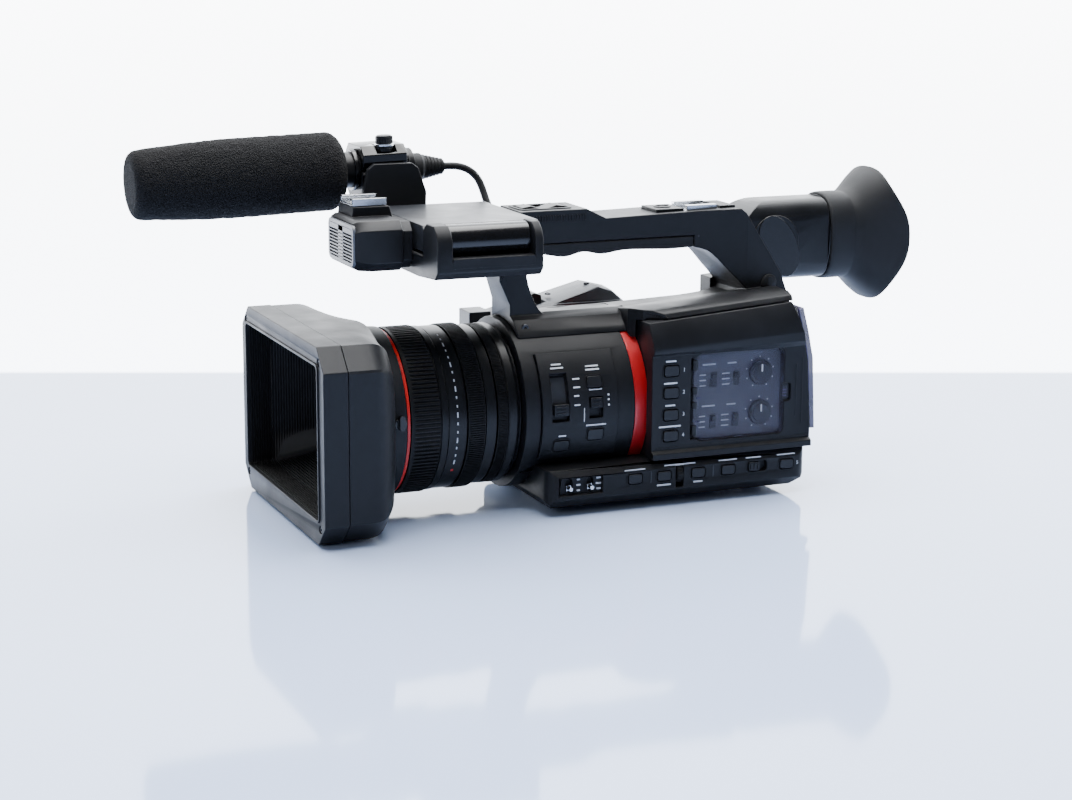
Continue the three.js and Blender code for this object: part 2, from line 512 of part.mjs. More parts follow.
function handle() {
  const outer = polygon([
    [-60, 98], [-60, 116], [-66, 130], [-66, 140.1], [-62.4, 140.1], [-62.4, 153.8], [-53.4, 153.8],
    [-53.4, HANDLE_TOP + 1.5],
    [-12, HANDLE_TOP + 1.5], [0, HANDLE_TOP - 4.5], [86, HANDLE_TOP - 2.5], [89, HANDLE_TOP - 5],
    [113, 126], [119.5, 109], [119.5, 98],
  ]);
  const gapCurve = new THREE.SplineCurve([
    [58, 143.4], [66, 141], [72.5, 135.5], [79, 128.5], [86, 121.5], [90.5, 115.5], [87, 111.6],
    [76, 110.2], [60, 109.6], [0, 107.5],
    [-22, 108], [-34, 107],
    [-41, 111.5], [-46.5, 121], [-49.5, 132],
  ].map(([y, z]) => new THREE.Vector2(y, z)));
  const gapTop = [new THREE.Vector2(-47, 143), new THREE.Vector2(-30, 143)];
  const gap = new THREE.Shape([...gapCurve.getPoints(30), ...gapTop]);
  const plan = polygon([
    [-4, -70], [HANDLE_HALF - 2, -70], [HANDLE_HALF, -62], [HANDLE_HALF, 62], [POST_HALF, 90],
    [POST_HALF, 130],
    [-POST_HALF, 130], [-POST_HALF, 90], [-HANDLE_HALF, 62], [-HANDLE_HALF, -56],
  ]);
  const loop = meet(cut(prism('x', outer, -30, 30), prism('x', gap, -40, 40)), prism('z', plan, 90, 180));
  const rearSaddle = climb(prism('y', polygon([
    [-22, 96], [50.5, 96], [50.5, 107.6], [49, 110.5], [44, 112.5], [30, 112.8], [14, 110.5], [-20, 102.8],
  ]), 8, 105.5));
  const saddlePlan = polygon([[-22, 8], [30, 8], [40, 13], [51, 24], [51, 105.5], [-22, 105.5]]);
  const frontSaddle = prism('y', polygon([
    [-10, 95], [28, 95], [28.5, 98], [26, 102.5], [20.5, 108], [14, 110.8], [4, 110.2],
    [-4, 108.4], [-10, 108.2],
  ]), -60, 12);
  const strapLug = climb(block(-34, -20, 87, 102, 96, 112.5));

  const slotWidth = EVF_HALF_WIDTH + 1.3;
  const slot = join(
    rod('x', EVF_HALF_HEIGHT + 0.9, -slotWidth, slotWidth, PIVOT.y, PIVOT.z, ROUND),
    block(-slotWidth, slotWidth, PIVOT.y - EVF_HALF_HEIGHT - 0.9, 140, PIVOT.z, 190),
    block(-slotWidth, slotWidth, PIVOT.y, 140, PIVOT.z - EVF_HALF_HEIGHT - 0.9, PIVOT.z + 1),
  );
  const lensRelief = rod('y', HOUSING_R + GAP, -80, BAND_REAR + GAP / 2, 0, LENS_Z, ROUND);
  const coreRelief = climb(prism('y', polygon([
    [-60, 80], [54, 80], [54, 107.4], [41, 107.4], [41, 106.4], [10, 106.4], [-20, 98.9], [-60, 87.4],
  ]), BAND_REAR - 2, 130));
  const shoeRail = block(-SHOE.width / 2, SHOE.width / 2, 54.5, 74.5, HANDLE_TOP - 4.6, HANDLE_TOP + 5);
  const zoomWell = block(-9, 9, -50, -20, HANDLE_TOP - 3, HANDLE_TOP + 5);
  const frame = cut(
    join(loop, meet(rearSaddle, prism('z', saddlePlan, 80, 130)), frontSaddle, strapLug),
    slot, lensRelief, coreRelief, shoeRail, zoomWell,
  );
  const underside = block(-30, 30, PAD.y0 - GAP, PAD.y1 + GAP, 130, PAD.top + GAP);
  const socket = cut(block(-36, -14, -61.5, -48, 142, 153.8), rod('y', 3.6, -50, -40, -26, 148, 16));
  part('handle_frame', join(cut(frame, underside), socket), CHARCOAL);

  const padOutline = new THREE.Shape();
  padOutline.moveTo(PAD.y0, PAD.top);
  padOutline.lineTo(PAD.y1, PAD.top);
  padOutline.lineTo(PAD.y1, 143.6);
  padOutline.splineThru([[40, 143.2], [14, 144.2], [-2, 142.6], [-14, 144.4], [-26, 142.2], [PAD.y0, 144.4]]
    .map(([y, z]) => new THREE.Vector2(y, z)));
  padOutline.closePath();
  part('handle_pad', prism('x', padOutline, -HANDLE_HALF + 0.2, HANDLE_HALF - 0.2, 10), RUBBER);

  part('handle_zoom_rocker', prism('x', polygon([
    [-48.6, HANDLE_TOP - 1.4], [-21.4, HANDLE_TOP - 1.4], [-21.4, HANDLE_TOP + 2.4], [-27, HANDLE_TOP + 3.2],
    [-35, HANDLE_TOP + 0.8], [-43, HANDLE_TOP + 3.2], [-48.6, HANDLE_TOP + 2.4],
  ]), -6, 6), BLACK);
}

// ---- accessory shoes ----
function accessoryShoe(name, y0, z) {
  const half = SHOE.width / 2;
  const rail = polygon([
    [-half, z], [half, z], [half, z + 4], [half - 4, z + 4], [half - 4, z + 4 - SHOE.lip + 0.2],
    [half - SHOE.lip, z + 4 - SHOE.lip + 0.2], [half - SHOE.lip, z + 1], [-half + SHOE.lip, z + 1],
    [-half + SHOE.lip, z + 4 - SHOE.lip + 0.2], [-half + 4, z + 4 - SHOE.lip + 0.2],
    [-half + 4, z + 4], [-half, z + 4],
  ]);
  part(name, prism('y', rail, y0, y0 + SHOE.length), CHROME);
}

// ---- front unit: microphone block, display tray and display ----
const HINGE = { x: 58.5, z: 162.3, r: 8.6 };
const DISPLAY = { x0: -41, x1: 44, y0: -123, y1: -54, z0: 154.4, z1: 169 };

function frontUnit() {
  const nose = loft([
    [-12, 33.5, 145, 169.6, -158.5], [-13.6, 35.4, 143.6, 170.8, -155.5], [-14, 36, 143, 171, -148],
    [-14, 36, 143, 171, -131.8],
    [-14, 34, 144, 169.8, -131], [-14, 34, 144, 169.8, -125 - GAP],
  ].map(([x0, x1, z0, z1, y]) => [
    [x0 + 3, z0], [x1 - 5, z0], [x1, z0 + 5], [x1, z1 - 5], [x1 - 5, z1], [x0 + 3, z1],
    [x0, z1 - 3], [x0, z0 + 3],
  ].map(([x, z]) => new THREE.Vector3(x, y, z))));
  const pedestal = prism('x', polygon([
    [-153.5, 169.5], [-129.5, 169.5], [-131.5, 176.4], [-152.5, 176.4],
  ]), -13, 13);
  part('front_mic_block', join(nose, pedestal), CHARCOAL);

  const trayShape = polygon([
    [TRAY.x0, TRAY.z0 + 4], [TRAY.x0 + 6, TRAY.z0 - 2], [40, TRAY.z0 - 2], [TRAY.x1 - 4, TRAY.z0],
    [TRAY.x1, TRAY.z0 + 4], [TRAY.x1, TRAY.z1], [TRAY.x0, TRAY.z1],
  ]);
  const tray = prism('y', trayShape, TRAY.y0, TRAY.y1);
  const earOutline = polygon([
    [48.5, TRAY.z1 - 1], [TRAY.x1, TRAY.z1 - 1], [TRAY.x1, 163], [69.5, 168], [65, 171.6],
    [54, 171.6], [48.5, 167],
  ]);
  const frontEar = prism('y', earOutline, TRAY.y0, -116);
  const rearEar = prism('y', earOutline, -68, TRAY.y1);
  const barrelWell = rod('y', HINGE.r + 0.6, -116, -68, HINGE.x, HINGE.z, 32);
  const strip = block(64, 70.5, -116.5, -67.5, TRAY.z1 - 1, TRAY.z1 + 1.2);
  const neck = block(-16, 16, TRAY.y0 + 4, TRAY.y1, TRAY.z0 - 1, TRAY.z1);
  part('lcd_tray', cut(join(tray, frontEar, rearEar, strip, neck), barrelWell), CHARCOAL);

  const outline = chamferedRect(DISPLAY.x0, DISPLAY.x1, DISPLAY.z0, DISPLAY.z1, 2);
  const slab = prism('y', outline, DISPLAY.y0, DISPLAY.y1);
  const earRelief = join(
    block(47.9, 90, DISPLAY.y0 - 5, -115.6, 140, 190),
    block(47.9, 90, -68.4, DISPLAY.y1 + 5, 140, 190),
  );
  const barrel = rod('y', HINGE.r, -115.6, -68.4, HINGE.x, HINGE.z, 32);
  const web = block(42, HINGE.x, -110, -74, 158.5, 166);
  part('lcd_panel', cut(join(slab, barrel, web), earRelief), SATIN_GRAY);
}

// ---- shotgun microphone on its side bracket ----
const CLAMP = { y0: -126, y1: -99 };
const FOAM_SPAN = { from: -260, to: -134.5 };
const MIC_REAR = -92;
const MIC_TILT = THREE.MathUtils.degToRad(1.7);
const MIC_TILT_Y = -111;
const KNOB = { x: MIC.x + 10, y: -111, r: 5, z0: MIC.z + 10.6 };

// The microphone and its holder dip slightly towards the front.
function dip(geometry) {
  return geometry.translate(0, -MIC_TILT_Y, -MIC.z).rotateX(MIC_TILT).translate(0, MIC_TILT_Y, MIC.z);
}

function microphone() {
  const plate = prism('x', polygon([
    [-132, 141], [-90, 141], [-89, 176], [-94, 190], [-98, 193], [-121, 193], [-125, 190], [-128, 176],
  ]), -46.5, -42 - GAP);
  const cradle = cut(
    dip(prism('y', chamferedRect(MIC.x - 17, -45, MIC.z - 17, MIC.z - 0.4, 4), CLAMP.y0, CLAMP.y1)),
    dip(rod('y', MIC_R + GAP, CLAMP.y0 - 3, CLAMP.y1 + 3, MIC.x, MIC.z, 32)),
  );
  const upperZone = dip(block(MIC.x - 19, -46.5 - GAP, CLAMP.y0 - 1, CLAMP.y1 + 1, MIC.z - 0.4, 215));
  part('mic_bracket', cut(join(plate, cradle), upperZone), CHARCOAL);

  const clamp = cut(
    dip(prism('y', chamferedRect(MIC.x - 17, -47, MIC.z, MIC.z + 14.5, 5), CLAMP.y0, CLAMP.y1)),
    dip(rod('y', MIC_R + GAP, CLAMP.y0 - 3, CLAMP.y1 + 3, MIC.x, MIC.z, 32)),
    dip(block(KNOB.x - KNOB.r - 0.6, -40, KNOB.y - KNOB.r - 1, KNOB.y + KNOB.r + 1, KNOB.z0 - GAP, 230)),
  );
  part('mic_clamp', clamp, CHARCOAL);
  const knob = dip(rod('z', KNOB.r, KNOB.z0, KNOB.z0 + 9.5, KNOB.x, KNOB.y, 20));
  part('mic_clamp_knob', knob, BLACK);

  part('microphone', dip(turned([
    [0.01, FOAM_SPAN.from + 14], [MIC_R, FOAM_SPAN.from + 14], [MIC_R, MIC_REAR], [0.01, MIC_REAR],
  ], MIC.x, MIC.z, 32)), BLACK);
  part('windscreen', dip(turned([
    [0.01, FOAM_SPAN.from], [FOAM_R.front - 6, FOAM_SPAN.from], [FOAM_R.front - 0.9, FOAM_SPAN.from + 5.5],
    [FOAM_R.front, FOAM_SPAN.from + 14], [FOAM_R.rear, -175], [FOAM_R.rear - 0.1, -152],
    [FOAM_R.rear - 2.8, -140], [MIC_R + 4, FOAM_SPAN.to], [MIC_R + 0.4, FOAM_SPAN.to],
    [MIC_R + 0.4, FOAM_SPAN.from + 13.4], [0.01, FOAM_SPAN.from + 13.4],
  ], MIC.x, MIC.z, 28)), FOAM);

  // plug on the microphone, its lead, and the socket on the handle's front unit
  part('cable_plug', turned([
    [0.01, MIC_REAR + 0.9], [8.4, MIC_REAR + 0.9], [8.4, -85], [6.6, -84], [4.4, PLUG_END], [0.01, PLUG_END],
  ], MIC.x, PLUG_Z, 24), BLACK);
  const route = new THREE.CatmullRomCurve3(CABLE_ROUTE.map(([x, y, z]) => new THREE.Vector3(x, y, z)));
  const section = new THREE.Shape();
  section.absarc(0, 0, CABLE_D / 2, 0, 2 * Math.PI);
  const lead = new THREE.ExtrudeGeometry(section, {
    steps: 40, curveSegments: 4, bevelEnabled: false, extrudePath: route,
  });
  part('mic_cable', lead, BLACK);
}

const CABLE_D = 4.4;
const PLUG_END = -71;
const PLUG_Z = 187.8;
const CABLE_ROUTE = [
  [-63, -70.6, 187.8], [-63, -64, 187.6], [-62.6, -58, 186.3], [-61.6, -53, 183.4],
  [-60, -49.6, 179], [-57.8, -47.8, 173.6],
  [-54.6, -46.8, 167.6], [-50, -45.6, 161.4], [-44.6, -44, 155.8], [-38.6, -42.6, 151.4], [-33, -41.8, 149],
  [-28.8, -42.6, 148.1], [-26.3, -45.6, 148], [-26, -49.4, 148],
];

// ---- viewfinder ----
function oval(y, halfWidth, halfHeight, z = PIVOT.z, flap = 0) {
  return Array.from({ length: 28 }, (_, i) => {
    const angle = (i * 2 * Math.PI) / 28;
    const [c, s] = [Math.cos(angle), Math.sin(angle)];
    const square = (v) => Math.sign(v) * Math.abs(v) ** 0.8;
    const back = flap * c ** 6 * (c > 0 ? 1 : 0.3);
    return new THREE.Vector3(halfWidth * square(c), y + back, z + halfHeight * square(s));
  });
}

function viewfinder() {
  const body = prism('x', (() => {
    const shape = new THREE.Shape();
    shape.moveTo(EVF_REAR, PIVOT.z - EVF_HALF_HEIGHT);
    shape.lineTo(EVF_REAR, PIVOT.z + EVF_HALF_HEIGHT);
    shape.absarc(PIVOT.y, PIVOT.z, EVF_HALF_HEIGHT, Math.PI / 2, 1.5 * Math.PI, false);
    shape.closePath();
    return shape;
  })(), -EVF_HALF_WIDTH, EVF_HALF_WIDTH, 12);
  const corners = roundedRect(0, PIVOT.z, 2 * EVF_HALF_WIDTH, 2 * EVF_HALF_HEIGHT, 11);
  const rounding = prism('y', corners, 80, EVF_REAR + 1, 5);
  const discs = rod('x', 16, -EVF_HALF_WIDTH - 0.9, EVF_HALF_WIDTH + 0.9, PIVOT.y, PIVOT.z, 32);
  const collar = loft([oval(EVF_REAR - 0.4, 16.8, 22.8), oval(EVF_REAR + 12, 16.8, 22.8)]);
  const bore = loft([oval(124, 12, 15), oval(EVF_REAR + 13, 12, 15)]);
  const front = join(meet(body, rounding), discs, collar);
  part('evf_tube', cut(front, bore), SATIN_GRAY);

  const outer = loft([
    oval(EVF_REAR + 1, 20.5, 26.2), oval(EVF_REAR + 17, 20.5, 26.2), oval(EVF_REAR + 20, 21, 27),
    oval(EVF_REAR + 27, 27, 33.5, 144, 4), oval(EVF_REAR + 36, 33.5, 40.8, 144, 11),
  ]);
  const inner = loft([
    oval(EVF_REAR, 17.3, 23.3), oval(EVF_REAR + 13, 17.3, 23.3), oval(EVF_REAR + 20, 16.5, 21),
    oval(EVF_REAR + 27.6, 23.5, 29.5, 144, 4), oval(EVF_REAR + 37.5, 31, 38.3, 144, 11),
  ]);
  part('eyecup', cut(outer, inner), RUBBER);
}

// ---- grip, hand strap and zoom rocker on the right side ----
function grip() {
  const ring = (y, x0, x1, z0, z1) => {
    const [cx, cz, a, b] = [(x0 + x1) / 2, (z0 + z1) / 2, (x1 - x0) / 2, (z1 - z0) / 2];
    return Array.from({ length: 20 }, (_, i) => {
      const angle = (i * 2 * Math.PI) / 20;
      const [c, s] = [Math.cos(angle), Math.sin(angle)];
      const square = (v) => Math.sign(v) * Math.abs(v) ** 0.55;
      return new THREE.Vector3(cx + a * square(c), y, cz + b * square(s));
    });
  };
  const shell = loft([
    ring(-52, -70, -40, 40, 92), ring(-44, -82, -40, 34, 98), ring(-20, -92, -38, 30, 102),
    ring(-4, -92, -36, 30, 105),
    ring(24, -91, -34, 30, 112.5), ring(34, -90, -36, 30, 110), ring(48, -88, -38, 30, 98),
    ring(84, -68, -40, 36, 92),
  ]);
  const inside = join(
    block(-46.4, 0, -70, 100, 0, 104),
    rod('y', HOUSING_R + GAP, -70, 13, 0, LENS_Z, ROUND),
  );
  const frontLug = block(-66, -48, -60, -46, 84, 101);
  const rockerWell = block(-78, -53, -34, -8, 99.4, 130);
  const recordWell = rod('y', 7.4, 70, 100, -66, 78, 24);
  const clear = block(-46.4, 0, -70, 20, 104, 140);
  const reliefTop = block(-47.4, 0, -70, 130, 103, 140);
  part('grip_body', cut(join(shell, frontLug), inside, rockerWell, recordWell, clear, reliefTop), GRAPHITE);
  part('grip_zoom_rocker', prism('x', polygon([
    [-32, 100.6], [-10, 100.6], [-10, 107.5], [-15, 109], [-21, 106], [-27, 107], [-32, 105.5],
  ]), -76, -55), RUBBER);
  part('record_button', rod('y', 6.9, 76, 84, -66, 78, 24), RED);

  const band = new THREE.Shape();
  const outside = new THREE.SplineCurve([
    [-84.6, -44], [-102, -36], [-115, -14], [-119, 12], [-115, 40], [-104, 62], [-87, 74],
  ]
    .map(([x, y]) => new THREE.Vector2(x, y)));
  const within = new THREE.SplineCurve([
    [-86.5, 67.5], [-99, 57], [-108.5, 38], [-112, 12], [-108.5, -12], [-98.5, -30], [-84.2, -38.5],
  ]
    .map(([x, y]) => new THREE.Vector2(x, y)));
  band.setFromPoints([...outside.getPoints(16), ...within.getPoints(16)]);
  const strap = cut(prism('z', band, 46, 92), block(-88, -60, -60, 60, 20, 140));
  part('hand_strap', cut(strap, block(-90.5, -60, 55, 90, 20, 140)), RUBBER);
}

lensHood();
lensBarrel();
lensHousing();
mainBody();
base();
handle();
accessoryShoe('front_shoe', -152.3, 176.4 + GAP);
frontUnit();
microphone();
viewfinder();
grip();

export default camcorder;
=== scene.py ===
"""Looks of a handheld camcorder: materials, fine detail, soft parts, cord, light and camera.

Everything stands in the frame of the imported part: +Z up, the lens looks along -Y, +X is the
operator's left, and the origin is on the underside, below the lens axis. Shapes are given in
millimetres and become metres when their mesh is made.
"""
import json
import math

import bmesh
import bpy
from mathutils import Matrix, Vector, noise


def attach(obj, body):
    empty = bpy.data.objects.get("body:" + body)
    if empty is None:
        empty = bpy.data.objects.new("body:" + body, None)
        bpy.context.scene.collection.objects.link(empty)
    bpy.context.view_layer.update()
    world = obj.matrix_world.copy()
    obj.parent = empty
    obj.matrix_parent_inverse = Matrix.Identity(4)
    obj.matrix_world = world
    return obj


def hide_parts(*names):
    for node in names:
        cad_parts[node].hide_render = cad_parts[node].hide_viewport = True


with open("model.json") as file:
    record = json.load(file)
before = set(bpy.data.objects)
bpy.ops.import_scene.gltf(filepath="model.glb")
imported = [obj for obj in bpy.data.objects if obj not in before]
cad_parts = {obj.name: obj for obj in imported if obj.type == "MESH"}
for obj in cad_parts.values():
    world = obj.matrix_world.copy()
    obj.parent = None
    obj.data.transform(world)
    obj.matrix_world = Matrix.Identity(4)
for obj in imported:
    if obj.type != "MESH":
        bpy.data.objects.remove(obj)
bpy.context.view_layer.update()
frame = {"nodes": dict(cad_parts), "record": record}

MM = 0.001
LENS_Z = 57.0

BODY_OF = {
    node: body
    for body, nodes in frame["record"]["behaviour"]["bodies"].items()
    for node in nodes
}


# ---- camera ----
def add_camera():
    place = Vector((1.1993, -0.54563, 0.34591))
    azimuth, elevation, roll = map(math.radians, (67.005, 12.57, 0.372))
    back = Vector((
        math.sin(azimuth) * math.cos(elevation),
        -math.cos(azimuth) * math.cos(elevation),
        math.sin(elevation),
    ))
    level = Vector((0, 0, 1)).cross(back).normalized()
    upright = back.cross(level)
    right = level * math.cos(roll) + upright * math.sin(roll)
    up = upright * math.cos(roll) - level * math.sin(roll)
    data = bpy.data.cameras.new("camera")
    data.lens = 76.15
    data.sensor_width = 36.0
    data.clip_start = 0.05
    camera = bpy.data.objects.new("camera", data)
    camera.matrix_world = Matrix((
        (right.x, up.x, back.x, place.x),
        (right.y, up.y, back.y, place.y),
        (right.z, up.z, back.z, place.z),
        (0, 0, 0, 1),
    ))
    bpy.context.scene.collection.objects.link(camera)
    bpy.context.scene.camera = camera


# ---- materials ----
def new_node(tree, kind, values=None, **settings):
    made = tree.nodes.new(kind)
    for key, value in settings.items():
        setattr(made, key, value)
    for key, value in (values or {}).items():
        made.inputs[key].default_value = value
    return made


def blank(name, roughness, metallic=0.0, **sockets):
    """A material with its shader, its tree and the object's own coordinates."""
    material = bpy.data.materials.new(name)
    material.use_nodes = True
    tree = material.node_tree
    shader = tree.nodes["Principled BSDF"]
    shader.inputs["Roughness"].default_value = roughness
    shader.inputs["Metallic"].default_value = metallic
    for key, value in sockets.items():
        shader.inputs[key.replace("_", " ")].default_value = value
    coordinates = new_node(tree, "ShaderNodeTexCoord").outputs["Object"]
    return material, tree, shader, coordinates


def shade(color, factor):
    return (*[min(1.0, channel * factor) for channel in color], 1.0)


def color_ramp(tree, source, low, first, high, second):
    """Colour that runs from the first one at low to the second one at high."""
    ramp = new_node(tree, "ShaderNodeValToRGB")
    for stop, position, color in zip(ramp.color_ramp.elements, (low, high), (first, second)):
        stop.position = position
        stop.color = color
    tree.links.new(source, ramp.inputs["Fac"])
    return ramp.outputs["Color"]


def vary_color(tree, shader, coordinates, color, amount, size_mm):
    """The colour drifts a little over the surface, as moulded and worn surfaces do."""
    cloud = new_node(tree, "ShaderNodeTexNoise", {"Scale": 1000 / size_mm, "Detail": 3.0})
    tree.links.new(coordinates, cloud.inputs["Vector"])
    cloud = cloud.outputs["Fac"]
    tint = color_ramp(tree, cloud, 0.3, shade(color, 1 - amount), 0.7, shade(color, 1 + amount))
    tree.links.new(tint, shader.inputs["Base Color"])
    return cloud


def vary_roughness(tree, shader, source, low, high, start=0.3, end=0.7):
    """Roughness that follows a pattern, from low where it is at start to high at its end."""
    gloss = new_node(tree, "ShaderNodeMapRange", {
        "From Min": start, "From Max": end, "To Min": low, "To Max": high,
    })
    tree.links.new(source, gloss.inputs["Value"])
    tree.links.new(gloss.outputs["Result"], shader.inputs["Roughness"])


def maths(tree, operation, *operands):
    """One arithmetic node, fed by numbers or by the outputs of other nodes."""
    made = new_node(tree, "ShaderNodeMath", operation=operation)
    for socket, operand in zip(made.inputs, operands):
        if isinstance(operand, (int, float)):
            socket.default_value = operand
        else:
            tree.links.new(operand, socket)
    return made.outputs[0]


def color_by(tree, shader, factor, first, second):
    """Base colour that runs from the first colour to the second one."""
    mix = new_node(tree, "ShaderNodeMix", data_type="RGBA")
    mix.inputs["A"].default_value = first
    mix.inputs["B"].default_value = second
    tree.links.new(factor, mix.inputs["Factor"])
    tree.links.new(mix.outputs["Result"], shader.inputs["Base Color"])


def add_bump(tree, shader, height, depth_mm, strength=1.0):
    bump = new_node(tree, "ShaderNodeBump", {"Distance": depth_mm * MM, "Strength": strength})
    tree.links.new(height, bump.inputs["Height"])
    tree.links.new(bump.outputs["Normal"], shader.inputs["Normal"])


def plastic(name, color, roughness, grain_mm=0.45, depth_mm=0.02, spread=0.06, specular=0.5, **sockets):
    """Moulded plastic or rubber: a fine spark-eroded grain, with uneven gloss."""
    material, tree, shader, coordinates = blank(name, roughness, Specular_IOR_Level=specular, **sockets)
    cloud = vary_color(tree, shader, coordinates, color, 0.14, 22)
    vary_roughness(tree, shader, cloud, roughness - spread, roughness + spread)
    grain = new_node(tree, "ShaderNodeTexNoise", {"Scale": 1000 / grain_mm, "Detail": 2.0})
    tree.links.new(coordinates, grain.inputs["Vector"])
    add_bump(tree, shader, grain.outputs["Fac"], depth_mm)
    return material


def metal(name, color, roughness, stretch=(1, 40, 40)):
    """Plated or brushed metal: fine lines drawn out along one axis."""
    material, tree, shader, coordinates = blank(name, roughness, 1.0)
    vary_color(tree, shader, coordinates, color, 0.08, 9)
    mapping = new_node(tree, "ShaderNodeMapping")
    mapping.inputs["Scale"].default_value = [value * 60 for value in stretch]
    tree.links.new(coordinates, mapping.inputs["Vector"])
    lines = new_node(tree, "ShaderNodeTexNoise", {"Scale": 1.0, "Detail": 3.0})
    tree.links.new(mapping.outputs["Vector"], lines.inputs["Vector"])
    vary_roughness(tree, shader, lines.outputs["Fac"], roughness * 0.6, roughness * 1.5, 0.0, 1.0)
    add_bump(tree, shader, lines.outputs["Fac"], 0.01, 0.5)
    return material


def meshed_red(name, color):
    """The accent band: saturated red with a fine crossed mesh under a clear coat."""
    material, tree, shader, coordinates = blank(name, 0.34, 0.25, Coat_Weight=0.5, Coat_Roughness=0.18)
    split = new_node(tree, "ShaderNodeSeparateXYZ")
    tree.links.new(coordinates, split.inputs["Vector"])
    pitch_mm = 0.7
    turns_per_metre = 2 * math.pi / (pitch_mm * MM)
    heights = []
    for sign in (1, -1):
        slope = maths(tree, "MULTIPLY", split.outputs["Y"], sign)
        along = maths(tree, "ADD", split.outputs["Z"], slope)
        heights.append(maths(tree, "SINE", maths(tree, "MULTIPLY", along, turns_per_metre)))
    weave = maths(tree, "MULTIPLY", *heights)
    ramp = new_node(tree, "ShaderNodeMapRange", {"From Min": -1.0, "From Max": 1.0})
    tree.links.new(weave, ramp.inputs["Value"])
    color_by(tree, shader, ramp.outputs["Result"], shade(color, 0.62), shade(color, 1.25))
    add_bump(tree, shader, ramp.outputs["Result"], 0.03, 0.6)
    return material


def open_foam(name, color):
    """Open-cell foam: the pores are painted darker than the struts, as painted shade in the holes."""
    material, tree, shader, coordinates = blank(name, 0.95, Specular_IOR_Level=0.2)
    cells = new_node(tree, "ShaderNodeTexVoronoi", {"Scale": 1000 / 0.95, "Randomness": 1.0})
    tree.links.new(coordinates, cells.inputs["Vector"])
    # painted shade: the colour darkens towards the middle of each cell, where the pore is
    tint = color_ramp(tree, cells.outputs["Distance"], 0.05, shade(color, 0.25), 0.62, shade(color, 2.4))
    tree.links.new(tint, shader.inputs["Base Color"])
    add_bump(tree, shader, cells.outputs["Distance"], 0.9)
    return material


def clear_plastic(name, color, alpha):
    """Thin smoky clear plastic with faint scuffs."""
    material, tree, shader, coordinates = blank(name, 0.12, Alpha=alpha, IOR=1.49)
    cloud = vary_color(tree, shader, coordinates, color, 0.1, 30)
    vary_roughness(tree, shader, cloud, 0.08, 0.2)
    return material


def coated_glass(name):
    material, tree, shader, coordinates = blank(name, 0.03, Coat_Weight=1.0, Coat_Roughness=0.02)
    vary_color(tree, shader, coordinates, (0.006, 0.010, 0.020), 0.3, 60)
    return material


def webbing(name, color):
    """Nylon webbing: crossed threads, soft sheen."""
    material, tree, shader, coordinates = blank(name, 0.85, Sheen_Weight=0.35, Sheen_Roughness=0.4)
    threads = []
    for rotation in ((0, 0, 0), (math.pi / 2, 0, 0)):
        mapping = new_node(tree, "ShaderNodeMapping")
        mapping.inputs["Rotation"].default_value = rotation
        tree.links.new(coordinates, mapping.inputs["Vector"])
        wave = new_node(tree, "ShaderNodeTexWave", {"Scale": 330.0, "Distortion": 0.6},
                        bands_direction="Z")
        tree.links.new(mapping.outputs["Vector"], wave.inputs["Vector"])
        threads.append(wave.outputs["Fac"])
    woven = maths(tree, "MULTIPLY", *threads)
    color_by(tree, shader, woven, shade(color, 0.6), shade(color, 2.2))
    add_bump(tree, shader, woven, 0.35)
    return material


CHARCOAL = plastic("charcoal", (0.0068, 0.0073, 0.0090), 0.45, 0.5, 0.03, specular=0.22)
HOOD_PLASTIC = plastic("hood_plastic", (0.0090, 0.0098, 0.0122), 0.47, 0.5, 0.03, specular=0.22)
SATIN = plastic("satin_black", (0.0055, 0.0059, 0.0072), 0.34, 0.3, 0.006, specular=0.25)
GLOSS = plastic("gloss_black", (0.0035, 0.0038, 0.0048), 0.17, 0.3, 0.002, 0.03, specular=0.40)
LID = plastic("lid_gray", (0.020, 0.022, 0.027), 0.37, 0.4, 0.015, specular=0.4)
SPECKLED = plastic("speckled_gray", (0.034, 0.038, 0.046), 0.43, 1.1, 0.16, specular=0.4)
GRILLE = plastic("grille_gray", (0.066, 0.072, 0.086), 0.42, 0.4, 0.02)
BUTTON = plastic("button", (0.0085, 0.0094, 0.0118), 0.38, 0.35, 0.012, specular=0.28)
DECK = plastic("deck_violet", (0.024, 0.024, 0.036), 0.4, 0.4, 0.01)
# near-black matte: the hood baffle's own colour, and painted shade where it stands for the shade in the card
# slots and behind the front grille
MATTE_BLACK_AND_SHADE = plastic("matte_black_and_painted_shade", (0.0018, 0.0019, 0.0023), 0.72, 0.4, 0.02, specular=0.25)
RUBBER = plastic("ring_rubber", (0.0048, 0.0050, 0.0056), 0.54, 0.35, 0.015, specular=0.22)
SOFT_RUBBER = plastic("soft_rubber", (0.0070, 0.0075, 0.0090), 0.58, 0.6, 0.03,
                      Sheen_Weight=0.05, specular=0.22)
PALE = plastic("label_white", (0.62, 0.64, 0.68), 0.5, 0.3, 0.003)
FADED = plastic("label_gray", (0.30, 0.31, 0.36), 0.5, 0.3, 0.003)
RED_INK = plastic("label_red", (0.55, 0.02, 0.02), 0.45, 0.3, 0.003)
RED_RING = plastic("ring_red", (0.62, 0.018, 0.016), 0.3, 0.4, 0.004)
RED_BAND = meshed_red("band_red", (0.50, 0.008, 0.012))
CHROME = metal("chrome", (0.66, 0.68, 0.71), 0.2)
STEEL = metal("steel", (0.34, 0.35, 0.37), 0.34, (40, 1, 40))
SCREW = metal("screw_black", (0.05, 0.052, 0.058), 0.34, (30, 30, 30))
FOAM = open_foam("foam", (0.0030, 0.0030, 0.0033))
CLEAR = clear_plastic("smoky_clear", (0.10, 0.095, 0.15), 0.10)
DOOR_CLEAR = clear_plastic("door_clear", (0.055, 0.048, 0.095), 0.88)
GLASS = coated_glass("coated_glass")
WEBBING = webbing("webbing", (0.0070, 0.0070, 0.0078))
BOARD = plastic("board_green", (0.01, 0.07, 0.03), 0.4)


